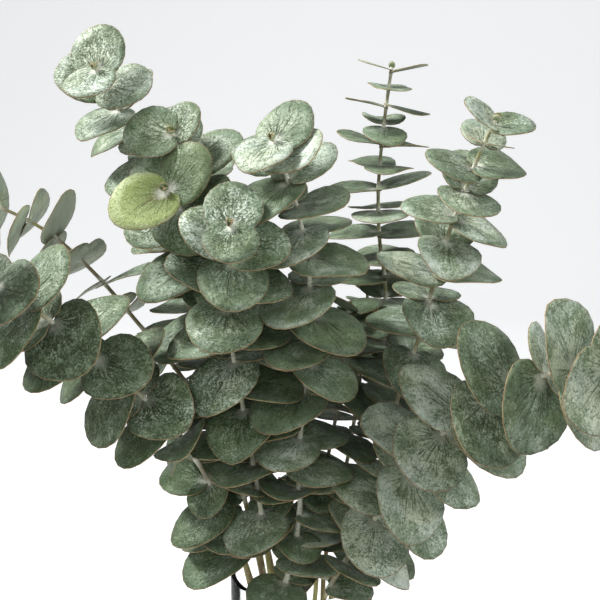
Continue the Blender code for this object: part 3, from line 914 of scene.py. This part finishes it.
    def cracks(self) -> Socket:
        """Short dark cracks in the powder, 1 on a crack."""
        sketch = self.sketch
        swirl = sketch.node("ShaderNodeTexNoise", {"Vector": self.place, "Scale": self.BEND_SCALE})
        net_at = sketch.node("ShaderNodeVectorMath", {0: swirl.outputs["Color"], 1: (self.BEND,) * 3,
                                                      2: self.place}, operation="MULTIPLY_ADD").outputs[0]
        net = sketch.node("ShaderNodeTexVoronoi", {"Vector": net_at, "Scale": self.NET_SCALE},
                          feature="DISTANCE_TO_EDGE")
        kept = sketch.smooth(sketch.noise(self.place, self.BREAK_SCALE, self.DETAIL), *self.BREAK_SPAN)
        return sketch.times(sketch.smooth(net.outputs["Distance"], *self.NET_SPAN), kept)

    def build(self) -> bpy.types.NodeTree:
        """Wires the group's outputs.

        Returns:
            The group, with input Strength.
        """
        sketch = self.sketch
        vein = sketch.math("MAXIMUM", self.veins(), sketch.times(self.cracks(), self.CRACK_SHARE))
        ragged = sketch.plus(self.out, sketch.times(self.cloud(self.RAGGED_SCALE), self.RAGGED))
        values = (self.powder(), vein, sketch.smooth(ragged, *self.PATCH_SPAN),
                  sketch.smooth(self.out, *self.EDGE_SPAN), self.out)
        sketch.node("NodeGroupOutput", dict(zip(self.OUTPUTS, values)))
        return self.group


@dataclass(frozen=True)
class LeafFinish:
    """The finish of one side of the leaves.

    Attributes:
        side: Which side it is for.
        deep: Colour where there is no powder.
        green: The fresher green of the same.
        middle: Colour under thin powder.
        pale: Colour under thick powder.
        strength: How strongly the powder is broken up.
        veins: How dark the veins are.
        lighter: Added to the powder all over.
        roughness: Of the surface.
        relief: Strength of the bump.
    """

    THIN = (0.0, 0.58)
    THICK = (0.45, 1.05)
    OLIVE_SCALE = 48.0
    OLIVE_SPAN = (0.42, 0.62)
    OLIVE_SHARE = 0.6
    OLIVE_TINT = (1.03, 0.98, 0.80)
    FRESH = ((0.15, srgb(104, 84, 32)), (0.45, srgb(104, 122, 44)), (0.75, srgb(140, 156, 78)),
             (1.0, srgb(198, 206, 160)))
    RIPE_BY_POWDER, RIPE_BY_OUT = 0.35, 0.75
    PATCH_SHARE, PATCH = 0.85, srgb(230, 233, 220)
    EDGE_SHARE, EDGE = 0.6, srgb(134, 108, 68)
    RELIEF_DEPTH = 0.0004
    SHEEN, SHEEN_ROUGHNESS = 0.12, 0.5

    side: LeafSide
    deep: Colour
    green: Colour
    middle: Colour
    pale: Colour
    strength: float
    veins: float
    lighter: float
    roughness: float
    relief: float

    def build(self, pattern: bpy.types.NodeTree) -> bpy.types.Material:
        """The material.

        Args:
            pattern: The leaf pattern group.

        Returns:
            The material of this side.
        """
        made, sketch, shader = new_material(f"eucalyptus leaf {self.side.value}")
        marks = sketch.node("ShaderNodeGroup", {"Strength": self.strength}, node_tree=pattern)
        powder, vein, patch, edge, out = (marks.outputs[name] for name in LeafPattern.OUTPUTS)
        powder = sketch.plus(sketch.plus(powder, sketch.attribute("bloom")), self.lighter)
        powder = sketch.less(powder, sketch.times(vein, self.veins))
        base = sketch.mix(sketch.attribute("green"), self.deep, self.green)
        colour = sketch.mix(sketch.smooth(powder, *self.THIN), base, self.middle)
        colour = sketch.mix(sketch.smooth(powder, *self.THICK), colour, self.pale)
        olive = sketch.smooth(sketch.noise(sketch.place(), self.OLIVE_SCALE), *self.OLIVE_SPAN)
        colour = sketch.mix(sketch.times(olive, self.OLIVE_SHARE), colour, self.OLIVE_TINT, "MULTIPLY")
        ripe = sketch.line(powder, self.RIPE_BY_POWDER, sketch.times(out, self.RIPE_BY_OUT))
        colour = sketch.mix(sketch.attribute("warm"), colour, sketch.ramp(ripe, self.FRESH))
        colour = sketch.mix(sketch.times(patch, self.PATCH_SHARE), colour, self.PATCH)
        colour = sketch.mix(sketch.times(edge, self.EDGE_SHARE), colour, self.EDGE)
        relief = sketch.bump(sketch.less(powder, vein), self.relief, self.RELIEF_DEPTH)
        sketch.feed(shader, {"Base Color": colour, "Normal": relief, "Roughness": self.roughness,
                             "Sheen Weight": self.SHEEN, "Sheen Roughness": self.SHEEN_ROUGHNESS})
        return made


@dataclass(frozen=True)
class EdgeFinish:
    """The thin dry edge of the leaves."""

    dark: Colour = srgb(136, 108, 72)
    pale: Colour = srgb(176, 158, 118)
    scale: float = 220.0
    span: Span = (0.35, 0.65)
    roughness: float = 0.6

    def build(self) -> bpy.types.Material:
        """The material of the edge."""
        made, sketch, shader = new_material("eucalyptus leaf edge")
        cloud = sketch.smooth(sketch.noise(sketch.place(), self.scale), *self.span)
        colour = sketch.mix(cloud, self.dark, self.pale)
        sketch.feed(shader, {"Base Color": colour, "Roughness": self.roughness})
        return made


@dataclass(frozen=True)
class StalkFinish:
    """The skin of the stems: olive and brown, with pale powder at the nodes."""

    olive: Colour = srgb(168, 162, 98)
    brown: Colour = srgb(132, 112, 74)
    dark: Colour = srgb(74, 64, 40)
    powder: Colour = srgb(238, 239, 226)
    cloud_scale: float = 60.0
    cloud_span: Span = (0.38, 0.62)
    grain_scale: float = 1500.0
    grain_stretch: tuple[float, ...] = (1.0, 1.0, 0.25)
    grain_share: float = 0.3
    dust_scale: float = 700.0
    dust_span: Span = (0.22, 0.50)
    relief: Span = (0.3, 0.0003)
    roughness: float = 0.6

    def build(self) -> bpy.types.Material:
        """The material of the stems."""
        made, sketch, shader = new_material("eucalyptus stalk")
        place = sketch.place()
        stretched = sketch.node("ShaderNodeMapping", {"Vector": place, "Scale": self.grain_stretch})
        grain = sketch.noise(stretched.outputs[0], self.grain_scale)
        cloud = sketch.smooth(sketch.noise(place, self.cloud_scale), *self.cloud_span)
        colour = sketch.mix(cloud, self.olive, self.brown)
        colour = sketch.mix(sketch.times(grain, self.grain_share), colour, self.dark)
        dust = sketch.smooth(sketch.noise(place, self.dust_scale), *self.dust_span)
        colour = sketch.mix(sketch.times(sketch.attribute("collar"), dust), colour, self.powder)
        sketch.feed(shader, {"Base Color": colour, "Normal": sketch.bump(grain, *self.relief),
                             "Roughness": self.roughness})
        return made


@dataclass(frozen=True)
class ClearFinish:
    """Glass or water."""

    WEAR_SCALE = 45.0
    WEAR_SPAN = (0.2, 0.8)
    WORN = 0.985

    name: str
    colour: Colour
    roughness: float
    bend: float

    def build(self) -> bpy.types.Material:
        """The clear material."""
        made, sketch, shader = new_material(self.name)
        wear = sketch.smooth(sketch.noise(sketch.place(), self.WEAR_SCALE), *self.WEAR_SPAN)
        colour = sketch.mix(wear, self.colour, tuple(self.WORN * part for part in self.colour))
        sketch.feed(shader, {"Base Color": colour, "Roughness": sketch.times(wear, self.roughness),
                             "Metallic": 0.0, "IOR": self.bend, "Transmission Weight": 1.0})
        return made


def add_object(name: str, data: bpy.types.ID) -> bpy.types.Object:
    """A new object in the scene."""
    made = bpy.data.objects.new(name, data)
    bpy.context.scene.collection.objects.link(made)
    return made


def deselect() -> None:
    """Leaves nothing selected."""
    for thing in bpy.context.view_layer.objects:
        thing.select_set(False)


def activate(thing: bpy.types.Object) -> None:
    """Makes one object the only selected and the active one."""
    deselect()
    thing.select_set(True)
    bpy.context.view_layer.objects.active = thing


def pick(thing: bpy.types.Object, kind: str, wanted: Callable) -> None:
    """Selects faces or edges of a mesh.

    Args:
        thing: The mesh object, in edit mode.
        kind: FACE or EDGE.
        wanted: A test on a face's middle and normal, or on an edge's two ends.
    """
    bpy.ops.mesh.select_mode(type=kind)
    bpy.ops.mesh.select_all(action="DESELECT")
    bpy.ops.object.mode_set(mode="OBJECT")
    if kind == "FACE":
        for face in thing.data.polygons:
            face.select = bool(wanted(face.center, face.normal))
    else:
        points = thing.data.vertices
        for edge in thing.data.edges:
            edge.select = bool(wanted(*(points[number].co for number in edge.vertices)))
    bpy.ops.object.mode_set(mode="EDIT")


def merge_points() -> None:
    """Makes points of the mesh in edit mode that share a place one, and selects all."""
    bpy.ops.mesh.select_all(action="SELECT")
    bpy.ops.mesh.remove_doubles(threshold=MERGE_REACH)


def keep_numbers(mesh: bpy.types.Mesh, name: str, values: object) -> None:
    """Keeps a number for every point of a mesh, for its materials.

    Args:
        mesh: The mesh.
        name: What the numbers are called.
        values: One number for each point.
    """
    kept = mesh.attributes.new(name, "FLOAT", "POINT")
    kept.data.foreach_set("value", np.array(values, np.float32))


def dress(thing: bpy.types.Object, skins: list[bpy.types.Material]) -> None:
    """Gives a mesh its materials."""
    thing.data.materials.clear()
    for skin in skins:
        thing.data.materials.append(skin)


def stand_for(thing: bpy.types.Object, node: str) -> bpy.types.Object:
    """Names a finished piece and lets it take the place of a solid.

    Args:
        thing: The piece.
        node: The solid's node.

    Returns:
        The piece.
    """
    thing.name = f"{node}_fine"
    thing.data.name = thing.name
    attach(thing, "root")
    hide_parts(node)
    return thing


class BladeModel:
    """The blade that every leaf is a bent copy of: rays from its base, in three rings."""

    def build(self) -> bpy.types.Object:
        """Models the flat blade.

        Returns:
            The object, whose map "polar" holds each corner's angle and share.
        """
        steps = np.array((len(RAY_ANGLES) - 1, len(RAY_SHARES) - 1))
        deselect()
        bpy.ops.mesh.primitive_grid_add(x_subdivisions=int(steps[0]), y_subdivisions=int(steps[1]), size=1.0,
                                        calc_uvs=True)
        blade = bpy.context.object
        blade.name = "blade_model"
        mesh = blade.data
        mesh.uv_layers[0].name = "polar"
        polar = mesh.uv_layers["polar"].uv
        cells = [np.rint((np.array(vertex.co[:2]) + 0.5) * steps).astype(int) for vertex in mesh.vertices]
        for loop in mesh.loops:
            column, row = cells[loop.vertex_index]
            polar[loop.index].vector = (0.5 + RAY_ANGLES[column] / 360, RAY_SHARES[row])
        for vertex, (column, row) in zip(mesh.vertices, cells):
            angle = math.radians(RAY_ANGLES[column])
            reach = RAY_SHARES[row] * (1 + math.cos(angle)) / 2
            vertex.co = (reach * math.cos(angle), reach * math.sin(angle), 0.0)
        bpy.ops.object.mode_set(mode="EDIT")
        merge_points()
        bpy.ops.object.mode_set(mode="OBJECT")
        mesh.shade_smooth()
        return blade

    @staticmethod
    def polar_of(mesh: bpy.types.Mesh) -> tuple[np.ndarray, np.ndarray]:
        """Angle and share of every corner point of the model.

        Args:
            mesh: The blade's mesh.

        Returns:
            Angles in radians, and shares.
        """
        angles, shares = np.zeros(len(mesh.vertices)), np.zeros(len(mesh.vertices))
        polar = mesh.uv_layers["polar"].uv
        for loop in mesh.loops:
            turn, share = polar[loop.index].vector
            angles[loop.vertex_index] = math.radians((turn - 0.5) * 360)
            shares[loop.vertex_index] = share
        return angles, shares


@dataclass
class LeafyStem:
    """One stem with its leaves, collars and bud.

    Attributes:
        line: Where the stem runs.
        leaves: Its leaves.
        blade: The blade's model.
        skins: Materials of the upper side, the underside, the edge and the stalk.
        collar: How much thicker the stem is at a node.
        collar_reach: Distance from a node at which that swelling ends.
        dust_reach: The same for the powder at a node.
        thinner: Radius of the stalk as a share of the solid's.
        step: Distance between points of the stalk.
        sides: Sides of the stalk.
    """

    line: StemLine
    leaves: list[Leaf]
    blade: bpy.types.Object
    skins: list[bpy.types.Material]
    collar: float = 0.38
    collar_reach: float = 0.0033
    dust_reach: float = 0.006
    thinner: float = 0.92
    step: float = 0.0035
    sides: int = 8

    def bud(self) -> list[Leaf]:
        """The small closed leaves at the tip."""
        found = []
        stem = self.line.stem
        draw = stem.draws(BUD_DRAWS)
        for pair, (length, lift) in enumerate(BUD_PAIRS):
            base, tangent, side = self.line.at(self.line.length - BUD_STEP * (1 - pair))
            for hand in (0, 180):
                angle = math.radians(stem.turn + 90 * (pair + 1) + hand + draw.uniform(*BUD_TURNS))
                outward = math.cos(angle) * side + math.sin(angle) * np.cross(tangent, side)
                rise = math.radians(lift + draw.uniform(*BUD_LIFTS))
                axis = unit(math.cos(rise) * outward + math.sin(rise) * tangent)
                normal = unit(tangent - np.dot(tangent, axis) * axis)
                length_here = length * draw.uniform(*BUD_SIZES)
                found.append(Leaf(-1, -1 - pair, base, axis, normal, length_here, **BUD_SHAPE))
        return found

    def blades(self) -> list[bpy.types.Object]:
        """A bent copy of the blade for every leaf, with its colouring kept on the mesh."""
        angles, shares = BladeModel.polar_of(self.blade.data)
        stem = self.line.stem
        look = stem.look
        draw = stem.draws(LOOK_DRAWS)
        made = []
        for leaf in [*self.leaves, *self.bud()]:
            mesh = self.blade.data.copy()
            thing = add_object("blade", mesh)
            mesh.vertices.foreach_set("co", leaf.surface(angles, shares, draw.uniform(*FOLDS)).ravel())
            young = max(0.0, 1 - max(leaf.node, 0) / stem.young)
            bloom = look.bloom + (look.young - look.bloom) * young + draw.gauss(0, look.spread)
            warm = 0.0 if leaf.node > 0 else look.warm * (COOLER if made else 1.0)
            if leaf.node < 0:
                warm = max(warm, BUD_WARMTH)
            values = {"bloom": bloom, "green": look.green + draw.gauss(0, GREEN_SPREAD), "warm": warm,
                      "speckle": look.speckle * draw.uniform(*SPECKLES),
                      "leaf_seed": draw.uniform(0, LEAF_SEEDS), "collar": 0.0}
            for name, value in values.items():
                keep_numbers(mesh, name, [value] * len(mesh.vertices))
            made.append(thing)
        return made

    @staticmethod
    def near_node(distance: float, nodes: np.ndarray, reach: float) -> float:
        """1 at a node, falling to 0 at the reach."""
        return max(0.0, 1 - float(np.min(np.abs(nodes - distance))) / reach)

    def stalk(self) -> bpy.types.Object:
        """The round stem, thicker at its nodes.

        Returns:
            The stem as a mesh object.
        """
        nodes = np.array(self.line.nodes())
        stops = np.linspace(0.0, self.line.length, round(self.line.length / self.step))
        curve = bpy.data.curves.new("stalk", "CURVE")
        curve.dimensions = "3D"
        curve.bevel_depth = 1.0
        curve.bevel_resolution = self.sides // 4
        curve.use_fill_caps = True
        spline = curve.splines.new("POLY")
        spline.points.add(len(stops) - 1)
        for point, stop in zip(spline.points, stops):
            point.co = (*self.line.at(stop)[0], 1.0)
            swell = 1 + self.collar * self.near_node(stop, nodes, self.collar_reach)
            point.radius = self.line.radius(stop) * swell * self.thinner
        activate(add_object("stalk", curve))
        bpy.ops.object.convert(target="MESH")
        thing = bpy.context.object
        bpy.ops.object.mode_set(mode="EDIT")
        merge_points()
        bpy.ops.mesh.normals_make_consistent(inside=False)
        bpy.ops.object.mode_set(mode="OBJECT")
        mesh = thing.data
        mesh.shade_smooth()
        places = np.array([tuple(vertex.co) for vertex in mesh.vertices])
        centres = np.array([self.line.at(stop)[0] for stop in stops])
        nearest = np.argmin(((places[:, None, :] - centres[None, :, :]) ** 2).sum(axis=2), axis=1)
        chalk = self.line.stem.look.chalk
        keep_numbers(mesh, "collar", [
            max(self.near_node(stop, nodes, self.dust_reach), chalk * (stop > nodes[-1]))
            for stop in stops[nearest]
        ])
        return thing

    def build(self) -> bpy.types.Object:
        """Joins the leaves, thickens them and joins the stalk.

        Returns:
            The finished piece.
        """
        blades = self.blades()
        activate(blades[0])
        for thing in blades:
            thing.select_set(True)
        bpy.ops.object.join()
        foliage = bpy.context.object
        dress(foliage, self.skins)
        thick = foliage.modifiers.new("thickness", "SOLIDIFY")
        thick.thickness = FINE_THICKNESS
        thick.offset = 0.0
        thick.material_offset = 1
        thick.material_offset_rim = 2
        bpy.ops.object.modifier_apply(modifier=thick.name)
        stalk = self.stalk()
        dress(stalk, self.skins)
        for face in stalk.data.polygons:
            face.material_index = len(self.skins) - 1
        activate(foliage)
        stalk.select_set(True)
        bpy.ops.object.join()
        return stand_for(foliage, self.line.stem.name)


@dataclass
class Vase:
    """The glass vase and the water in it.

    Attributes:
        sides: Sides of the turned pieces.
        rim_round: Rounding of the rim and its steps.
        foot_round: Rounding of the foot and its steps.
        inner_round: Rounding inside, round the floor, and its steps.
        meniscus: Widths and depths of the two steps in which the water climbs the glass.
        overlap: How far the water reaches into the glass, so that no air shows between them.
        smooth_below: Edges flatter than this angle look smooth, in degrees.
    """

    sides: int = 96
    rim_round: tuple[float, int] = (0.0014, 4)
    foot_round: tuple[float, int] = (0.004, 4)
    inner_round: tuple[float, int] = (0.006, 5)
    meniscus: tuple[Span, Span] = ((0.0009, 0.00084), (0.0016, 0.00036))
    overlap: float = 0.00005
    smooth_below: float = 40.0

    def cylinder(self, radius: float, low: float, high: float) -> bpy.types.Object:
        """A cylinder on the vase's axis, left in edit mode."""
        deselect()
        bpy.ops.mesh.primitive_cylinder_add(vertices=self.sides, radius=radius, depth=high - low,
                                            location=(0.0, 0.0, (high + low) / 2), end_fill_type="NGON")
        bpy.ops.object.transform_apply(location=True, rotation=True, scale=True)
        bpy.ops.object.mode_set(mode="EDIT")
        return bpy.context.object

    @staticmethod
    def round_off(thing: bpy.types.Object, height: float, rounding: tuple[float, int],
                  inner: bool | None = None) -> None:
        """Rounds the edges of the circles at a height.

        Args:
            thing: The turned piece, in edit mode.
            height: Where the circles lie.
            rounding: Width and steps of the rounding.
            inner: Whether only circles inside the wall are meant, or only those outside, if given.
        """
        def on_circle(first: Vector, second: Vector) -> bool:
            near, far = math.hypot(first.x, first.y), math.hypot(second.x, second.y)
            level = max(abs(first.z - height), abs(second.z - height), abs(near - far)) < LEVEL_ROOM
            return level and (inner is None or inner == (near < VASE_RADIUS - VASE_WALL / 2))
        pick(thing, "EDGE", on_circle)
        bpy.ops.mesh.bevel(offset=rounding[0], segments=rounding[1], affect="EDGES")

    @staticmethod
    def faces_up(_: Vector, normal: Vector) -> bool:
        """Whether a face looks up."""
        return normal.z > UPWARD

    def glass(self, skin: bpy.types.Material) -> bpy.types.Object:
        """Models the vase: a cylinder, hollowed, with its edges rounded.

        Args:
            skin: The glass.

        Returns:
            The vase.
        """
        vase = self.cylinder(VASE_RADIUS, 0.0, VASE_HEIGHT)
        pick(vase, "FACE", self.faces_up)
        bpy.ops.mesh.inset(thickness=VASE_WALL)
        bpy.ops.mesh.extrude_region_move(
            TRANSFORM_OT_translate={"value": (0.0, 0.0, VASE_FLOOR - VASE_HEIGHT)})
        self.round_off(vase, VASE_FLOOR, self.inner_round, inner=True)
        self.round_off(vase, 0.0, self.foot_round, inner=False)
        self.round_off(vase, VASE_HEIGHT, self.rim_round)
        return self.finish(vase, "glass_vase", skin)

    def water(self, skin: bpy.types.Material) -> bpy.types.Object:
        """Models the water: a cylinder with a rounded foot, whose surface climbs the glass.

        Args:
            skin: The water.

        Returns:
            The water.
        """
        low = VASE_FLOOR - self.overlap
        water = self.cylinder(VASE_RADIUS - VASE_WALL + self.overlap, low, WATER_TOP)
        self.round_off(water, low, self.inner_round)
        pick(water, "FACE", self.faces_up)
        for width, depth in self.meniscus:
            bpy.ops.mesh.inset(thickness=width)
            bpy.ops.transform.translate(value=(0.0, 0.0, -depth))
        return self.finish(water, "water", skin)

    def finish(self, thing: bpy.types.Object, node: str,
               skin: bpy.types.Material) -> bpy.types.Object:
        """Smooths and dresses a turned piece, which then stands for its solid."""
        bpy.ops.object.mode_set(mode="OBJECT")
        activate(thing)
        bpy.ops.object.shade_smooth_by_angle(angle=math.radians(self.smooth_below))
        dress(thing, [skin])
        return stand_for(thing, node)


@dataclass(frozen=True)
class AreaLamp:
    """One soft lamp."""

    name: str
    place: tuple[float, float, float]
    target: tuple[float, float, float]
    size: float
    power: float
    colour: Colour = (1.0, 1.0, 1.0)

    def build(self) -> bpy.types.Object:
        """The lamp, turned to its target."""
        light = bpy.data.lights.new(self.name, "AREA")
        light.size = self.size
        light.energy = self.power
        light.color = self.colour
        lamp = add_object(self.name, light)
        lamp.location = self.place
        way = np.array(self.target) - np.array(self.place)
        lamp.rotation_euler = (math.atan2(math.hypot(way[0], way[1]), -way[2]), 0.0,
                               math.atan2(-way[0], way[1]))
        return lamp


@dataclass
class Studio:
    """Floor, backdrop, lamps and camera.

    Attributes:
        camera_place: Where the camera stands.
        camera_tilt: How far it looks down, degrees.
        lens: Focal length in millimetres.
        sensor: Width of the picture in the camera, in millimetres.
        nearest: Things closer to the camera than this aren't drawn.
        sweep: How far the floor reaches each way, and how high it climbs.
        bend: Radius of the curve in which it starts to climb.
        bend_steps: Steps of that curve.
        paper: Colour of the floor.
        paper_roughness: Its roughness.
        glow: How much brighter the paper looks than the lamps make it.
        glow_colour: Colour of that light.
        sky: Colour of the light from all round.
        sky_strength: Its strength.
        lamps: The lamps.
    """

    camera_place: tuple[float, float, float] = (-0.001, -0.535, 0.4595)
    camera_tilt: float = 10.0
    lens: float = 54.0
    sensor: float = 36.0
    nearest: float = 0.02
    sweep: float = 3.0
    bend: float = 1.2
    bend_steps: int = 16
    paper: Colour = (0.60, 0.605, 0.61)
    paper_roughness: float = 0.9
    glow: float = 0.57
    glow_colour: Colour = (0.97, 0.985, 1.0)
    sky: Colour = (0.99, 1.0, 0.98)
    sky_strength: float = 0.38
    lamps: tuple[AreaLamp, ...] = (
        AreaLamp("key lamp", (-0.9, 0.05, 1.45), (-0.02, -0.02, 0.34), 0.38, 30.0),
        AreaLamp("front lamp", (-0.5, -1.5, 1.0), (-0.02, -0.02, 0.34), 1.0, 5.0),
        AreaLamp("right lamp", (1.1, -0.6, 1.0), (0.06, -0.04, 0.34), 0.8, 8.0, (0.97, 0.99, 1.0)),
    )

    def floor(self) -> bpy.types.Object:
        """A pale floor that curves up behind the vase."""
        def at_back(first: Vector, second: Vector) -> bool:
            return min(first.y, second.y) > self.sweep - LEVEL_ROOM and max(first.z, second.z) < LEVEL_ROOM
        deselect()
        bpy.ops.mesh.primitive_plane_add(size=2 * self.sweep, location=(0.0, 0.0, 0.0))
        floor = bpy.context.object
        bpy.ops.object.mode_set(mode="EDIT")
        pick(floor, "EDGE", at_back)
        bpy.ops.mesh.extrude_region_move(TRANSFORM_OT_translate={"value": (0.0, 0.0, self.sweep)})
        pick(floor, "EDGE", at_back)
        bpy.ops.mesh.bevel(offset=self.bend, segments=self.bend_steps, affect="EDGES")
        bpy.ops.object.mode_set(mode="OBJECT")
        floor.name = "floor"
        floor.data.shade_smooth()
        paper, sketch, shader = new_material("pale paper")
        path = sketch.node("ShaderNodeLightPath")
        seen = sketch.math("MAXIMUM", path.outputs["Is Camera Ray"], path.outputs["Is Transmission Ray"])
        sketch.feed(shader, {"Base Color": (*self.paper, 1.0), "Roughness": self.paper_roughness,
                             "Emission Color": (*self.glow_colour, 1.0),
                             "Emission Strength": sketch.times(seen, self.glow)})
        floor.data.materials.append(paper)
        return floor

    def camera(self) -> None:
        """The camera, at the photograph's angle."""
        view = bpy.data.cameras.new("camera")
        view.lens = self.lens
        view.sensor_width = self.sensor
        view.clip_start = self.nearest
        camera = add_object("camera", view)
        camera.location = self.camera_place
        camera.rotation_euler = (math.radians(90 - self.camera_tilt), 0.0, 0.0)
        bpy.context.scene.camera = camera

    def build(self) -> None:
        """Sets the whole studio."""
        self.floor()
        for lamp in self.lamps:
            lamp.build()
        world = bpy.data.worlds.new("studio")
        bpy.context.scene.world = world
        world.use_nodes = True
        sky = world.node_tree.nodes["Background"]
        sky.inputs["Color"].default_value = (*self.sky, 1.0)
        sky.inputs["Strength"].default_value = self.sky_strength
        bpy.context.scene.view_settings.view_transform = "Standard"
        self.camera()


UPPER_FINISH = LeafFinish(
    LeafSide.UPPER, deep=srgb(40, 48, 26), green=srgb(60, 88, 36), middle=srgb(112, 133, 104),
    pale=srgb(208, 219, 206), strength=1.0, veins=0.546, lighter=0.0, roughness=0.55, relief=0.7)
UNDER_FINISH = LeafFinish(
    LeafSide.UNDER, deep=srgb(72, 83, 58), green=srgb(82, 100, 62), middle=srgb(116, 130, 108),
    pale=srgb(188, 197, 180), strength=0.35, veins=0.195, lighter=0.22, roughness=0.6, relief=0.3)
GLASS_FINISH = ClearFinish("clear glass", (0.985, 0.99, 0.99), 0.02, 1.15)
WATER_FINISH = ClearFinish("clear water", (0.96, 0.98, 0.98), 0.0, 1.33)


def main() -> None:
    """Builds the bunch, the vase and the studio."""
    logging.basicConfig(level=logging.INFO, format="%(message)s")
    pattern = LeafPattern().build()
    skins = [UPPER_FINISH.build(pattern), UNDER_FINISH.build(pattern), EdgeFinish().build(),
             StalkFinish().build()]
    layout = LeafLayout(STEMS)
    leaves = layout.leaves()
    LOG.info("placed %d leaves", len(leaves))
    blade = BladeModel().build()
    vase = Vase()
    pieces = [
        LeafyStem(line, [leaf for leaf in leaves if leaf.stem == index], blade, skins).build()
        for index, line in enumerate(layout.lines)
    ]
    pieces += [vase.glass(GLASS_FINISH.build()), vase.water(WATER_FINISH.build())]
    for piece in pieces:
        LOG.info("%s: %d faces", piece.name, len(piece.data.polygons))
    bpy.data.objects.remove(blade)
    Studio().build()


if __name__ == "__main__":
    main()
